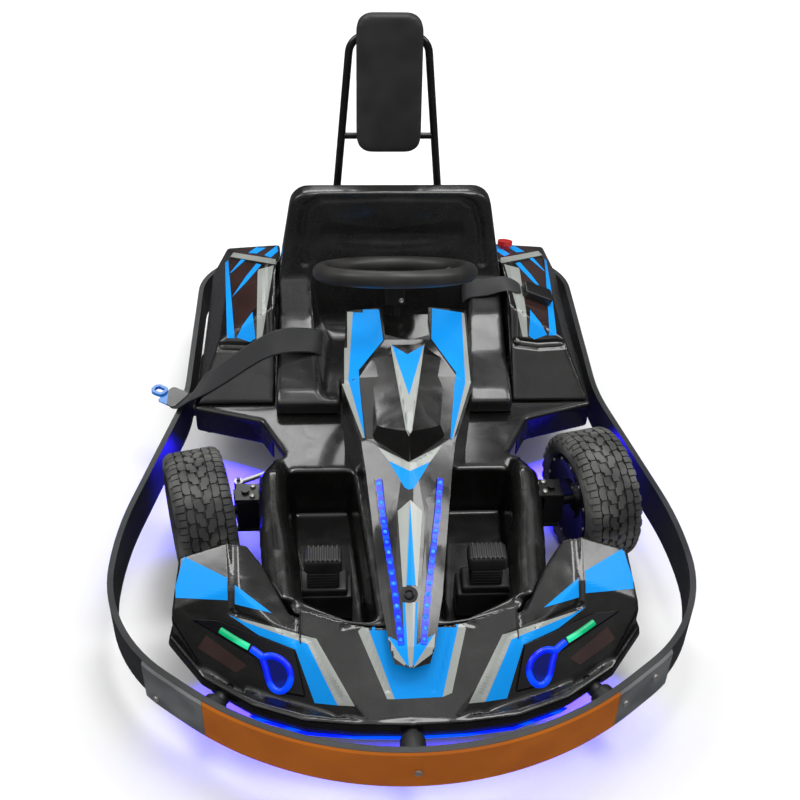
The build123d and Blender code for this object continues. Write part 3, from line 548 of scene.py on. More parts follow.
# folds pressed into the skin along lines of photo pixels: width and depth in mm
folds = {
    "side_pod_right": [
        ([(221, 347), (246, 348), (268, 345)], 15, 4),
        ([(268, 262), (266, 300), (268, 344)], 10, 3),
    ],
    "front_cowl": [
        ([(232, 545), (234, 612)], 12, 3),
        ([(344, 627), (366, 622), (376, 608)], 9, 2),
        ([(366, 622), (388, 690)], 8, 1.8),
        ([(232, 612), (310, 640), (340, 698)], 8, 1.8),
    ],
    "seat_shell": [
        ([(305, 262), (303, 225), (307, 207), (320, 199), (390, 197), (460, 198), (474, 206), (479, 225),
          (482, 262)], 15, 4.5),
        ([(330, 232), (392, 236), (455, 231)], 26, 3),
    ],
}
softening = 0.5     # share of the way that a vertex moves in one round
foldSteps = 24      # rays along each stretch of a fold


def pressFolds(piece, node, mirrored):
    # each vertex near a fold's line moves along its normal by a smooth share of the depth
    tree = treeOf(nodes[node])
    bm = opened(piece.data)
    bm.normal_update()
    find = KDTree(len(bm.verts))
    bm.verts.ensure_lookup_table()
    for vert in bm.verts:
        find.insert(vert.co, vert.index)
    find.balance()
    for path, width, depth in folds[node]:
        near = {}
        for (u0, v0), (u1, v1) in zip(path, path[1:]):
            for step in range(foldSteps + 1):
                t = step / foldSteps
                ray = photoRay(u0 + t * (u1 - u0), v0 + t * (v1 - v0))
                hit = tree.ray_cast(view["place"], ray)[0]
                if hit is None:
                    continue
                for side in (1, -1) if mirrored else (1,):
                    point = Vector((hit.x * side, hit.y, hit.z))
                    for _, index, distance in find.find_range(point, width / 1000):
                        near[index] = min(near.get(index, 1), distance * 1000 / width)
        for index, share in near.items():
            vert = bm.verts[index]
            vert.co -= vert.normal * depth / 1000 * (1 - share ** 2) ** 2
    bm.to_mesh(piece.data)
    bm.free()


seamCover = {
    # the skin runs on between the lamp's sill and the lower bead: photo pixels
    "sill": [(246, 688), (254, 690), (262, 693), (270, 696), (280, 699), (292, 702), (304, 705), (316, 708),
             (325, 711), (332, 714)],
    "bead": [(238, 696), (246, 700), (255, 704), (265, 707), (277, 710), (289, 713), (301, 716), (314, 719),
             (325, 721), (333, 723)],
    "drop": 0.001,          # metres
    "wall": 0.005,
}


def coverSeam(bm):
    tree = treeOf(nodes["front_cowl"])
    chains = []
    for line in ("sill", "bead"):
        hits = [tree.ray_cast(view["place"], photoRay(u, v))[0] for u, v in seamCover[line]]
        chains.append([bm.verts.new(hit - Vector((0, 0, seamCover["drop"]))) for hit in hits])
    sill, bead = chains
    quads = [bm.faces.new((a, b, d, c)) for a, b, c, d in zip(sill, sill[1:], bead, bead[1:])]
    bmesh.ops.recalc_face_normals(bm, faces=quads)
    if quads[0].normal.z < 0:
        bmesh.ops.reverse_faces(bm, faces=quads)
    made = bmesh.ops.duplicate(bm, geom=list({*sill, *bead}) + quads)["geom"]
    bmesh.ops.scale(bm, vec=(-1, 1, 1), verts=onlyKind(made, bmesh.types.BMVert))
    flipped = onlyKind(made, bmesh.types.BMFace)
    bmesh.ops.reverse_faces(bm, faces=flipped)
    bmesh.ops.solidify(bm, geom=quads + flipped, thickness=seamCover["wall"])


def mouldShell(node, voxel, rounds, kept):
    # rotational moulding leaves no sharp edge: the CAD skin is remeshed and softened
    bm = cadCopy(node)
    if node == "front_cowl":
        coverSeam(bm)
    piece = place(node + "Moulded", bm, slotOf[node], node, replaced=(node,))
    addSkin(piece, voxel / 1000)
    soft = piece.modifiers.new("soft", "SMOOTH")
    soft.factor = softening
    soft.iterations = rounds
    bake(piece)
    if node in folds:
        pressFolds(piece, node, mirrored=node == "front_cowl")
    elif node == "side_pod_left":
        pressFolds(piece, "side_pod_right", mirrored=True)
    thin = piece.modifiers.new("thin", "DECIMATE")
    thin.ratio = kept
    bake(piece)
    smoothen(piece)
    print(node, "moulded:", len(piece.data.polygons), "faces")
    return piece


console = {
    "flat": 1.5,            # degrees: faces that turn less become one
    "fold": 9,              # degrees: edges that turn more are folds
    "shortest": 0.004,      # metres
    "radius": 0.003,
    "segments": 3,
    "sharp": 28,
}


def creaseShell(node):
    # pressed panels with crisp folds: the CAD skin's edges get a small round
    bm = cadCopy(node)
    bmesh.ops.dissolve_limit(bm, angle_limit=radians(console["flat"]), verts=bm.verts, edges=bm.edges)
    creases = [e for e in bm.edges if len(e.link_faces) == 2 and e.calc_length() > console["shortest"]
               and e.calc_face_angle(0) > radians(console["fold"])]
    roundEdges(bm, creases, console["radius"], console["segments"], clamped=True)
    faceOutward(bm)
    piece = place(node + "Creased", bm, slotOf[node], node, replaced=(node,))
    sharpen(piece, console["sharp"])
    even = piece.modifiers.new("even", "WEIGHTED_NORMAL")
    even.keep_sharp = True
    print(node, "creased:", len(piece.data.polygons), "faces")
    return piece


dressed = {node: mouldShell(node, *values) for node, values in shells.items()}
dressed["console_cover"] = creaseShell("console_cover")
trees = {}


def castPhoto(node, u, v):
    # where the ray through a point of the photo meets a piece
    if node not in trees:
        trees[node] = treeOf(dressed.get(node, nodes[node]))
    return trees[node].ray_cast(view["place"], photoRay(u, v))[:2]


film = {
    "cell": 3,              # photo pixels, as the weld
    "weld": 0.01,
    "lift": 0.0007,         # metres
    "liftOnFilm": 0.0006,   # more of it for a film on a film
    "thickness": 0.0005,
}


def layFilm(name, node, outlines, finish, mirrored=False, lift=0):
    # a film cut to outlines in photo pixels and laid on a moulded piece
    bm = bmesh.new()
    for outline in outlines:
        part = bmesh.new()
        part.faces.new([part.verts.new((u, v, 0)) for u, v in outline])
        for axis in (0, 1):
            values = [corner[axis] for corner in outline]
            low, high = min(values), max(values)
            steps = int((high - low) / film["cell"])
            for step in range(1, steps + 1):
                cut, normal = Vector((0, 0, 0)), Vector((0, 0, 0))
                cut[axis] = low + step * (high - low) / (steps + 1)
                normal[axis] = 1
                bmesh.ops.bisect_plane(part, geom=everything(part), dist=film["weld"], plane_co=cut,
                                       plane_no=normal)
        missed = []
        for vert in part.verts:
            hit, normal = castPhoto(node, vert.co.x, vert.co.y)
            if hit is None:
                missed.append(vert)
            else:
                vert.co = hit + normal * (film["lift"] + lift)
        bmesh.ops.delete(part, geom=missed, context="VERTS")
        part.normal_update()
        for face in part.faces:
            if face.normal.dot(view["place"] - face.calc_center_median()) < 0:
                face.normal_flip()
        addTo(bm, part)
    if mirrored:
        addTwin(bm)
    bmesh.ops.solidify(bm, geom=bm.faces, thickness=film["thickness"])
    place(name, bm, finish, node, smooth=False)


consoleFilms = {
    "azureFilm": [
        [(353.1, 309.1), (378.5, 306.7), (383.2, 340.2), (358.8, 370.3), (359.4, 383), (364.9, 438),
         (348.4, 380.4)],
        [(432.1, 308.4), (461.6, 312.7), (465.2, 383), (451.8, 440), (450.4, 438), (454.6, 383), (456.2, 373),
         (431.2, 338.8)],
        [(392, 345.6), (407.3, 354.5), (423.4, 345.6), (409.1, 395.8)],
        [(388.3, 460.7), (410, 471.2), (430.1, 461.8), (414, 488.2), (408.7, 489.9), (404.6, 487.5)],
        [(402.7, 602.6), (405.2, 602.6), (407.8, 649.8), (409.2, 668.6), (386.8, 635.1), (404.2, 645)],
        [(417.6, 602.6), (415.4, 602.6), (413.7, 649.8), (412.4, 668.6), (434.4, 634.1), (416.4, 645)],
        [(410.1, 502.2), (415.7, 585.4), (406.4, 585.4)],
    ],
    "silverFilm": [
        [(346.1, 311.4), (353.1, 309.1), (348.4, 380.4), (364.9, 438), (362.5, 438), (341.4, 382.4)],
        [(461.6, 312.7), (464.2, 313.4), (470.5, 383), (453, 440), (451.8, 440), (465.2, 383)],
        [(390.3, 343.5), (392, 345.6), (409.1, 395.8), (423.4, 345.6), (424.5, 343.5), (412, 430),
         (409.1, 436), (406, 430)],
        [(378.1, 447.3), (408.4, 462.3), (442.1, 445.3), (430.1, 461.8), (410, 471.2), (388.3, 460.7)],
        [(410.4, 500), (422.1, 511.2), (417.6, 586.9), (415.8, 586.9), (410.1, 502.2), (406.4, 586.9),
         (402.7, 586.9), (397.7, 511.2)],
        [(405.2, 602.6), (415.4, 602.6), (413.7, 649.8), (412.4, 668.6), (410.4, 670.1), (409.2, 668.6),
         (407.8, 649.8)],
        [(385.7, 634.1), (386.8, 635.1), (409.2, 668.6), (410.4, 670.1), (386.5, 652.1)],
        [(435.2, 633.3), (434.1, 652.1), (410.4, 670.1), (412.4, 668.6), (434.4, 634.1)],
    ],
    "blackGloss": [
        [(373.7, 479), (394.3, 500), (391.5, 507), (403.5, 640), (400, 638.5), (392.5, 632)],
        [(443.3, 479), (424.8, 500), (427.6, 507), (417.5, 640), (421, 638.5), (428, 632)],
    ],
}
cowlFilms = {
    "azureFilm": [
        [(183.6, 556.3), (227, 577.8), (227.8, 600.2), (172.8, 597.8)],
        [(234.9, 585), (271.6, 613.2), (234.9, 604.1)],
        [(228.6, 614.5), (242.9, 621.2), (307.5, 644), (337.8, 705.4), (314.7, 703), (295.5, 649.6),
         (258.9, 635.2)],
    ],
    "silverFilm": [
        [(236.5, 617.4), (316.3, 638.7), (354.8, 706.2), (337.8, 705.4), (307.5, 644), (242.9, 621.2)],
    ],
}
noseFilms = {
    "azureFilm": [[(366.2, 622.1), (379, 604.9), (443, 603.4), (459.2, 621.4), (442.7, 697), (394.7, 699.3)]],
    "silverFilm": [
        [(358, 631.5), (366.2, 622.1), (394.7, 699.3), (387.2, 699.3)],
        [(459.2, 621.4), (466, 628), (452, 693), (442.7, 697)],
    ],
}
podFilms = {
    "smokeFilm": [
        [(228.9, 259.2), (261.3, 265.1), (256.6, 274.5), (257.2, 307.6), (251.9, 311.1), (235.4, 337.1),
         (230.1, 274.5)],
        [(235.4, 251.5), (283.8, 227.4), (281.4, 259.2), (233.6, 252.7)],
    ],
    "silverFilm": [
        [(257.8, 269.8), (273.7, 265.7), (261.9, 338.8), (256.6, 339.4)],
        [(230.4, 256.9), (233.6, 252.7), (278.4, 259.8), (275.5, 264.5)],
    ],
    "azureFilm": [
        [(225.4, 262.7), (228.3, 260.4), (234.8, 338.2), (227.1, 338.2)],
        [(236.6, 337.5), (243, 325), (252.5, 312), (255.4, 338.2), (250, 342)],
    ],
}
podStripes = [
    [(230.7, 272.8), (241.3, 259.8), (245.4, 260.4), (230.9, 273.4)],
    [(246, 276.9), (256.6, 263.9), (261.5, 265.2), (247.2, 281.6), (232.4, 297.2)],
    [(248.4, 253.3), (283.8, 228), (282.6, 238), (256.6, 253.9)],
    [(264.3, 255.7), (282.6, 241.5), (281.4, 248.6), (270.8, 258)],
]
for label, node, films, mirrored in (
    ("console", "console_cover", consoleFilms, False),
    ("wing", "front_cowl", cowlFilms, True),
    ("nose", "front_cowl", noseFilms, False),
    ("pod", "side_pod_right", podFilms, True),
):
    for finish, outlines in films.items():
        layFilm(label + finish[0].upper() + finish[1:], node, outlines, finish, mirrored)
layFilm("podStripes", "side_pod_right", podStripes, "azureFilm", mirrored=True, lift=film["liftOnFilm"])

diodes = {
    # metres, along the kart and then across it
    "first": -0.548,
    "last": -0.238,
    "pitch": 0.0205,
    "middle": 0.01,
    "reach": 0.09,
    "scan": 0.001,
    "radius": 0.0038,
    "shape": (1, 1.3, 0.4),
}


def buildDiodes():
    # one small dome over each diode, on the middle of either bar
    tree = treeOf(nodes["console_lights"])
    bm = bmesh.new()
    along = diodes["first"]
    while along < diodes["last"]:
        hits = []
        for step in range(int(2 * diodes["reach"] / diodes["scan"])):
            across = step * diodes["scan"] - diodes["reach"] + diodes["middle"]
            hit = tree.ray_cast(Vector((across, along, 1)), Vector((0, 0, -1)))[0]
            if hit is not None:
                hits.append(hit)
        middle = sum(hit.x for hit in hits) / max(len(hits), 1)
        for side in (1, -1):
            row = [hit for hit in hits if (hit.x - middle) * side > 0]
            if row:
                spot = sum(row, Vector()) / len(row)
                made = bmesh.ops.create_icosphere(bm, subdivisions=2, radius=diodes["radius"])["verts"]
                bmesh.ops.scale(bm, vec=diodes["shape"], verts=made)
                bmesh.ops.translate(bm, vec=spot, verts=made)
        along += diodes["pitch"]
    place("consoleDiodes", bm, "diodeGlow", "console_lights")


buildDiodes()
print("films laid")

lampLight = {
    # photo pixels, the tube's radius in mm, finish, closed
    "lampGreen": ([(220.5, 630), (228, 635), (238, 641), (249, 647)], 6, "greenGlow", False),
    "lampArm": ([(251.5, 648.5), (257, 652.5), (262, 656.5)], 6.8, "blueGlow", False),
    "lampLoop": ([(262, 657), (266, 668), (268.5, 680), (273, 689), (281, 692), (288, 687.5),
                  (291.5, 678), (289.5, 668), (283, 660), (272, 655)], 6.2, "blueGlow", True),
}
blankPlate = [(205.9, 635.2), (247, 665.5), (236.5, 672.7), (198, 648)]


def layTube(name, node, path, radius, finish, closed):
    # a round light tube on a lens, with its twin on the other side
    curve = bpy.data.curves.new(name, "CURVE")
    curve.dimensions = "3D"
    spline = curve.splines.new("NURBS")
    spots = [hit for hit in (castPhoto(node, u, v)[0] for u, v in path) if hit is not None]
    spline.points.add(len(spots) - 1)
    for point, spot in zip(spline.points, spots):
        point.co = (*spot, 1)
    spline.use_cyclic_u = closed
    spline.order_u = 3
    spline.use_endpoint_u = not closed
    curve.bevel_depth = radius / 1000
    curve.bevel_resolution = 3
    curve.use_fill_caps = True
    holder = addObject(name + "Line", curve)
    mesh = finalMesh(holder)
    bpy.data.objects.remove(holder)
    bm = opened(mesh)
    bpy.data.meshes.remove(mesh)
    addTwin(bm)
    place(name, bm, finish, node)


for name, (path, radius, finish, closed) in lampLight.items():
    layTube(name, "headlight_right", path, radius, finish, closed)
layFilm("lampFill", "headlight_right", [lampLight["lampLoop"][0]], "dimGlow", mirrored=True)
layFilm("noseBlankPlate", "front_cowl", [blankPlate], "smokeFilm", mirrored=True)

tread = {
    "pitches": 30,
    "depth": 0.006,
    "sunk": 0.002,                      # how far a lug reaches into the carcass
    "rows": [0.0385, 0.045, 0.051],     # where a lug bends over the shoulder
    "weld": 0.00001,
    "width": 0.12,                      # the tyre that the outlines were drawn for
    "radius": 0.14,
    "otherSide": 0.5,                   # turn of the other half's lugs, in pitches
    # turn in pitches, then an outline in mm: along the tyre, and across it from the middle
    "lugs": [
        (0, [(1.2, 1), (15, 1), (19, 5), (28, 6), (28.2, 16), (22, 19.3), (11, 18), (8, 13), (1.2, 12.5)]),
        (0.35, [(1.2, 21.5), (10, 21), (13.5, 22.5), (28, 21.5), (28.2, 31), (18, 35.8), (6, 34.8),
                (1.2, 31)]),
        (0.2, [(1, 38), (13.5, 36.8), (13.8, 57.5), (1.4, 57.5)]),
        (0.2, [(15.8, 38.2), (27.4, 37.8), (27.2, 51.5), (16, 53)]),
    ],
}
carcass = {
    "outer": 0.1397,
    "shoulder": 0.02,
    "sideGap": 0.0003,
    # distance from the tyre's side, and radius
    "section": [(0.008, 0.0984), (0.002, 0.103), (0, 0.112), (0.0006, 0.119), (0.004, 0.1265),
                (0.01, 0.1312), (0.02, 0.1333)],
    "crown": 0.1335,
    "steps": 96,
    "sharp": 35,
}
tyres = {
    # piece: CAD node, width, joint
    "frontTreadLeft": ("front_tyre_left", 0.12, "wheel_front_left_roll"),
    "frontTreadRight": ("front_tyre_right", 0.12, "wheel_front_right_roll"),
    "rearTreadLeft": ("rear_tyre_left", 0.11, "rear_axle_roll"),
    "rearTreadRight": ("rear_tyre_right", 0.11, "rear_axle_roll"),
}


def layLug(bm, shift, outline, mirror, shrink, crown):
    # one block bent over the crown, then copied round the tyre; crown gives the radius at x
    pitch = 2 * pi / tread["pitches"]
    lug = bmesh.new()
    corners = [(0.001 * x * mirror * shrink, 0.001 * s, 0) for s, x in outline]
    lug.faces.new([lug.verts.new(corner) for corner in corners])
    for row in tread["rows"]:
        bmesh.ops.bisect_plane(lug, geom=everything(lug), dist=tread["weld"],
                               plane_co=(mirror * row * shrink, 0, 0), plane_no=(1, 0, 0))
    made = bmesh.ops.extrude_face_region(lug, geom=lug.faces[:])["geom"]
    for vert in onlyKind(made, bmesh.types.BMVert):
        vert.co.z = -tread["depth"] - tread["sunk"]
    faceOutward(lug)
    for vert in lug.verts:
        x, s, drop = vert.co
        radius = crown(x) + drop
        turn = s / tread["radius"] + shift * pitch
        vert.co = (x, radius * sin(turn), radius * cos(turn))
    mesh = bpy.data.meshes.new("lug")
    for _ in range(tread["pitches"]):
        lug.to_mesh(mesh)
        bm.from_mesh(mesh)
        bmesh.ops.rotate(lug, verts=lug.verts, cent=(0, 0, 0), matrix=Matrix.Rotation(pitch, 3, "X"))
    bpy.data.meshes.remove(mesh)
    lug.free()


def spunRing(section, steps):
    # a closed section of (along, out) pairs turned round the X axis
    bm = bmesh.new()
    ring = [bm.verts.new((x, 0, r)) for x, r in section]
    edges = [bm.edges.new((a, b)) for a, b in zip(ring, ring[1:] + ring[:1])]
    bmesh.ops.spin(bm, geom=ring + edges, cent=(0, 0, 0), axis=(1, 0, 0), angle=2 * pi, steps=steps,
                   use_merge=True)
    faceOutward(bm)
    return bm


def buildTyre(name, node, width, joint):
    # a carcass spun from its section, with blocks laid round it
    outer, shoulder = carcass["outer"], carcass["shoulder"]
    half = width / 2 - carcass["sideGap"]
    flat = half - shoulder

    def crown(x):
        over = abs(x) - flat
        return outer if over < 0 else outer - shoulder + sqrt(max(shoulder ** 2 - over ** 2, 0))

    section = [(half - inset, radius) for inset, radius in carcass["section"]] + [(0, carcass["crown"])]
    section += [(-x, r) for x, r in reversed(section[:-1])]
    bm = spunRing(section, carcass["steps"])
    for shift, outline in tread["lugs"]:
        for mirror, further in ((1, 0), (-1, tread["otherSide"])):
            layLug(bm, shift + further, outline, mirror, width / tread["width"], crown)
    faceOutward(bm)
    low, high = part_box(node)
    seat = aimed(Vector(low) / 2 + Vector(high) / 2, (1, 0, 0), joints[joint]["axis"])
    bm.transform(seat)
    sharpen(place(name, bm, "tyre_rubber", node, replaced=(node,)), carcass["sharp"])


for name, (node, width, joint) in tyres.items():
    buildTyre(name, node, width, joint)
print("tyres built")

rimCover = {
    # distance along the axle from the wheel's middle and radius, in mm, inner side
    "section": [(-47.5, 97), (-54.5, 96.5), (-55.5, 94), (-55.5, 88), (-53.5, 84), (-49, 60),
                (-47.5, 36), (-50.5, 32), (-50.5, 25), (-46, 25), (-45.5, 60), (-47.5, 84)],
    "steps": 64,
    "sharp": 35,
    "screws": 12,
    "screwRing": 0.0905,        # metres, as the rest
    "screwDepth": 0.0553,
    "screwRadius": 0.0032,
    "screwHeight": 0.002,
}
screw = {
    "sides": 24,
    "segments": 3,
    "sharp": 40,
    # shares of the head's height
    "round": 0.35,
    "sink": 0.45,
    "washerHeight": 0.24,
    "washerRise": 0.06,
    # shares of its radius
    "rim": 0.32,
    "washerRadius": 1.6,
}
screwPlaces = {
    # CAD node, photo pixels, radius and height in metres, washer
    "bumperScrews": [
        ("bumper_end_plates", 156.8, 698.7, 0.0065, 0.004, False),
        ("bumper_front_strip", 199.5, 724, 0.0065, 0.004, False),
        ("bumper_front_strip", 418.6, 772.4, 0.007, 0.004, False),
        ("bumper_end_plates", 625, 703, 0.0065, 0.004, False),
        ("bumper_end_plates", 654.8, 676.8, 0.0065, 0.004, False),
    ],
    "consoleScrew": [("console_cover", 409.3, 594.8, 0.01, 0.006, True)],
    "steeringScrews": [("steering_column", 400.8, 300.5, 0.0055, 0.004, False)],
    "deckScrew": [("tub", 374.7, 300.8, 0.0045, 0.003, True)],
}
knuckleScrews = {
    "middle": (0.293, -0.125, 0.186),
    "across": 0.01,
    "along": 0.014,
    "radius": 0.0055,
    "height": 0.005,
}
sideNames = {1: "Left", -1: "Right"}


def addScrew(bm, where, normal, radius, height, washer=False):
    # a socket head with a rounded rim, on an optional washer
    head = bmesh.new()
    bmesh.ops.create_cone(head, cap_ends=True, segments=screw["sides"], radius1=radius, radius2=radius,
                          depth=height)
    bmesh.ops.translate(head, verts=head.verts, vec=(0, 0, height / 2))
    top = max(head.faces, key=lambda f: f.calc_center_median().z)
    roundEdges(head, top.edges[:], height * screw["round"], screw["segments"])
    top = max(head.faces, key=lambda f: (round(f.calc_center_median().z, 6), f.calc_area()))
    bmesh.ops.inset_individual(head, faces=[top], thickness=radius * screw["rim"])
    bmesh.ops.translate(head, verts=top.verts, vec=(0, 0, -height * screw["sink"]))
    if washer:
        wide = radius * screw["washerRadius"]
        ring = bmesh.ops.create_cone(head, cap_ends=True, segments=screw["sides"], radius1=wide, radius2=wide,
                                     depth=height * screw["washerHeight"])
        bmesh.ops.translate(head, verts=ring["verts"], vec=(0, 0, height * screw["washerRise"]))
    head.transform(aimed(where, (0, 0, 1), normal))
    addTo(bm, head)


def photoScrews(name, finish):
    # screws placed where the photo shows them, each on the piece that it holds
    bm = bmesh.new()
    for node, u, v, radius, height, washer in screwPlaces[name]:
        where, normal = castPhoto(node, u, v)
        if where is None:
            print("no", node, "under", u, v)
            continue
        addScrew(bm, where, normal, radius, height, washer)
    sharpen(place(name, bm, finish, screwPlaces[name][0][0]), screw["sharp"])


def dressKnuckle(node, side):
    # four screws on the bracket's top plate
    bm = bmesh.new()
    x, y, z = knuckleScrews["middle"]
    for dx in (-knuckleScrews["across"], knuckleScrews["across"]):
        for dy in (-knuckleScrews["along"], knuckleScrews["along"]):
            addScrew(bm, Vector((side * (x + dx), y + dy, z)), (0, 0, 1), knuckleScrews["radius"],
                     knuckleScrews["height"])
    sharpen(place("knuckleScrews" + sideNames[side], bm, "bright_steel", node), screw["sharp"])


def dressRim(node, joint, side):
    # a cover ring on the wheel's inner side, with screws round it
    axis = Vector(joints[joint]["axis"]) * side
    low, high = [Vector(corner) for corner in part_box(node)]
    seat = aimed((low + high) / 2, (1, 0, 0), axis)
    bm = spunRing([(x / 1000, r / 1000) for x, r in rimCover["section"]], rimCover["steps"])
    bm.transform(seat)
    sharpen(place("rimCover" + sideNames[side], bm, "wheel_black", node), rimCover["sharp"])
    bm = bmesh.new()
    out = rimCover["screwRing"]
    for count in range(rimCover["screws"]):
        angle = 2 * pi * count / rimCover["screws"]
        spot = Vector((-rimCover["screwDepth"], out * sin(angle), out * cos(angle)))
        addScrew(bm, seat @ spot, -axis, rimCover["screwRadius"], rimCover["screwHeight"])
    sharpen(place("rimScrews" + sideNames[side], bm, "bright_steel", node), screw["sharp"])


photoScrews("bumperScrews", "bright_steel")
photoScrews("consoleScrew", "black_metal")
dressKnuckle("kingpin_bracket_left", 1)
dressKnuckle("kingpin_bracket_right", -1)
dressRim("front_wheel_left", "wheel_front_left_roll", 1)
dressRim("front_wheel_right", "wheel_front_right_roll", -1)
photoScrews("steeringScrews", "bright_steel")
photoScrews("deckScrew", "bright_steel")
print("screws and rim covers placed")

sleeves = {
    # the end at the bumper, the direction away from it, the length: in mm
    "ends": [
        ((0, -738.5, 108), (0, 1, 0), 66),
        ((371.5, -619.5, 108), (-0.577, 0.817, 0), 40),
        ((-371.5, -619.5, 108), (0.577, 0.817, 0), 40),
    ],
    # share of the length, and radius in mm
    "section": [(0, 15.3), (0, 23), (0.04, 24.5), (0.9, 23), (1, 20), (1, 15.3)],
    "steps": 40,
    "sharp": 35,
}
bm = bmesh.new()
for end, direction, length in sleeves["ends"]:
    section = [(along * length / 1000, out / 1000) for along, out in sleeves["section"]]
    sleeve = spunRing(section, sleeves["steps"])
    seat = aimed(Vector(end) / 1000, (1, 0, 0), direction)
    sleeve.transform(seat)
    addTo(bm, sleeve)
sharpen(place("bumperSleeves", bm, "mount_rubber", "bumper_mounts"), sleeves["sharp"])

pedal = {
    # metres
    "across": 0.157,
    "along": -0.352,
    "ribPitch": 0.009,
    # half width, half depth, low, high, corner: in mm
    "housing": (56, 30, 84, 150, 5),
    "collar": (47, 28, 150, 168, 6),
    "cap": (37, 23, 207, 242, 8),
    "rib": (2.4, 20, 238, 244, 1.2),
    "ribs": (-3, -2, -1, 0, 1, 2, 3),
    # half width, half depth, low, high, lap of the folds: in mm
    "bellows": (31, 22, 168, 206, 0.5),
    "folds": 5,
    "foldRound": 0.46,      # share of a fold's height
    "segments": 4,
    "sharp": 35,
}


def roundedBlock(bm, across, along, halfWidth, halfDepth, low, high, corner):
    made = bmesh.ops.create_cube(bm, size=1)["verts"]
    bmesh.ops.scale(bm, vec=(halfWidth / 500, halfDepth / 500, (high - low) / 1000), verts=made)
    bmesh.ops.translate(bm, vec=(across, along, (high + low) / 2000), verts=made)
    roundEdges(bm, list({e for v in made for e in v.link_edges}), corner / 1000, pedal["segments"])


for node, side in (("throttle_pedal", -1), ("brake_pedal", 1)):
    bm = bmesh.new()
    across, along = side * pedal["across"], pedal["along"]
    for part in ("housing", "collar", "cap"):
        roundedBlock(bm, across, along, *pedal[part])
    halfWidth, halfDepth, low, high, lap = pedal["bellows"]
    rise = (high - low) / pedal["folds"]
    for fold in range(pedal["folds"]):
        roundedBlock(bm, across, along, halfWidth, halfDepth, low + fold * rise - lap,
                     low + (fold + 1) * rise + lap, rise * pedal["foldRound"])
    for rib in pedal["ribs"]:
        roundedBlock(bm, across + rib * pedal["ribPitch"], along, *pedal["rib"])
    sharpen(place(node + "Dressed", bm, "pedal_rubber", node, replaced=(node,)), pedal["sharp"])
print("sleeves and pedals built")

headrest = {"voxel": 0.005, "rounds": 10}


def buildPad():
    # a firm vinyl pad: its rim is rounded and its faces swell a little
    piece = place("headrestCushion", cadCopy("headrest_pad"), "pad_cover", "headrest_pad",
                  replaced=("headrest_pad",))
    addSkin(piece, headrest["voxel"])
    bake(piece)
    soft = opened(piece.data)
    for _ in range(headrest["rounds"]):
        bmesh.ops.smooth_vert(soft, verts=soft.verts, factor=softening, use_axis_x=True, use_axis_y=True,
                              use_axis_z=True)
    soft.to_mesh(piece.data)
    soft.free()
    smoothen(piece)
    refine(piece, 1)
    bake(piece)


buildPad()

beltRoutes = {
    # x, y and z in mm of the strap's middle, then the direction across it
    "long": [
        (-158, 268, 260, 0.1, 0.92, 0.38),
        (-169, 266, 279, 0.1, 0.92, 0.38),
        (-200, 259, 286, 0.12, 0.9, 0.42),
        (-268, 236, 304, 0.2, 0.72, 0.66),
        (-335, 203, 274, 0.2, 0.72, 0.66),
        (-412, 166, 240, 0.2, 0.72, 0.66),
        (-440, 156, 232, 0.45, 0.78, 0.43),
        (-466, 166, 182, 0.537, 0.844, 0),
        (-488, 180, 182, 0.537, 0.844, 0),
    ],
    "short": [
        (167, 376, 322, 0, 0.8, 0.6),
        (177, 376, 345, 0, 0.8, 0.6),
        (224, 373, 345, 0, 0.8, 0.6),
        (262, 371, 365, 0, 0.97, 0.25),
        (300, 369, 346, 0, 1, 0.05),
    ],
    "longHalf": 0.031,
    "shortHalf": 0.022,
    "thickness": 0.0016,
    "across": 4,            # faces across a strap
}
webbing = {
    "rough": 0.4,
    "sheen": 0.12,
    "spacing": {"X": 0.0022, "Y": 0.003},   # metres across and along
    "dark": (0.006, 0.006, 0.007),
    "light": (0.03, 0.031, 0.034),
    "bump": 0.5,
    "relief": 0.0005,
}


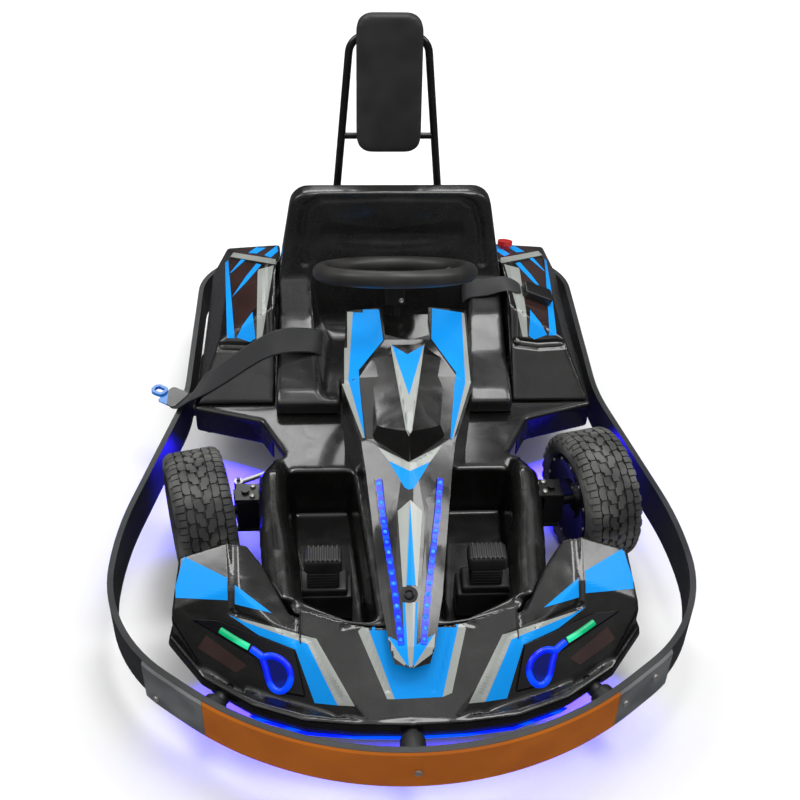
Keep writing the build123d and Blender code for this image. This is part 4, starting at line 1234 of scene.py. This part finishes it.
def makeWebbing():
    # a plain weave that follows the strap's own length and width, in metres
    material, tree, shader = newTree("webbingWeave")
    setInputs(shader, {"Roughness": webbing["rough"], "Sheen Weight": webbing["sheen"]})
    where = addNode(tree, "UVMap")
    where.uv_map = "strapUV"
    waves = []
    for axis, spacing in webbing["spacing"].items():
        turns = addMath("MULTIPLY", alongAxis(where.outputs["UV"], axis), 2 * pi / spacing)
        waves.append(addMath("SINE", turns))
    level = addRange(addMath("MULTIPLY", *waves), (-1, 1))
    woven = mixColour(level, 1, webbing["dark"], webbing["light"])
    link(woven, shader.inputs["Base Color"])
    relief = addBump(level, webbing["bump"], webbing["relief"])
    link(relief.outputs["Normal"], shader.inputs["Normal"])
    return material


materials["webbingWeave"] = makeWebbing()


def buildStrap(name, route, half):
    # a row of points across the strap, pulled along its route
    bm = bmesh.new()
    uvLayer = bm.loops.layers.uv.new("strapUV")
    count = beltRoutes["across"]
    stations, run = [], 0
    for index, row in enumerate(route):
        middle = Vector(row[:3]) / 1000
        across = Vector(row[3:]).normalized() * half
        if index:
            run += (middle - stations[-1][0]).length
        stations.append((middle, across, run))
    first = [bm.verts.new(stations[0][0] + stations[0][1] * (2 * i / count - 1)) for i in range(count + 1)]
    measure = {vert: (half * (2 * i / count - 1), 0) for i, vert in enumerate(first)}
    edges = [bm.edges.new((a, b)) for a, b in zip(first, first[1:])]
    for middle, across, run in stations[1:]:
        grown = bmesh.ops.extrude_edge_only(bm, edges=edges)["geom"]
        edges = onlyKind(grown, bmesh.types.BMEdge)
        ordered = sorted({v for edge in edges for v in edge.verts}, key=lambda v: v.co.dot(across))
        for i, vert in enumerate(ordered):
            vert.co = middle + across * (2 * i / count - 1)
            measure[vert] = (half * (2 * i / count - 1), run)
    for face in bm.faces:
        for loop in face.loops:
            loop[uvLayer].uv = measure[loop.vert]
    faceOutward(bm)
    piece = place(name, bm, "webbingWeave", "belt_straps", replaced=("belt_straps",))
    refine(piece, 2)
    thick = piece.modifiers.new("thick", "SOLIDIFY")
    thick.thickness = beltRoutes["thickness"]
    thick.offset = 0
    bake(piece)
    smoothen(piece)
    print(name, "length", round(stations[-1][2], 3))


buildStrap("lapStrapLong", beltRoutes["long"], beltRoutes["longHalf"])
buildStrap("lapStrapShort", beltRoutes["short"], beltRoutes["shortHalf"])
print("belt built")
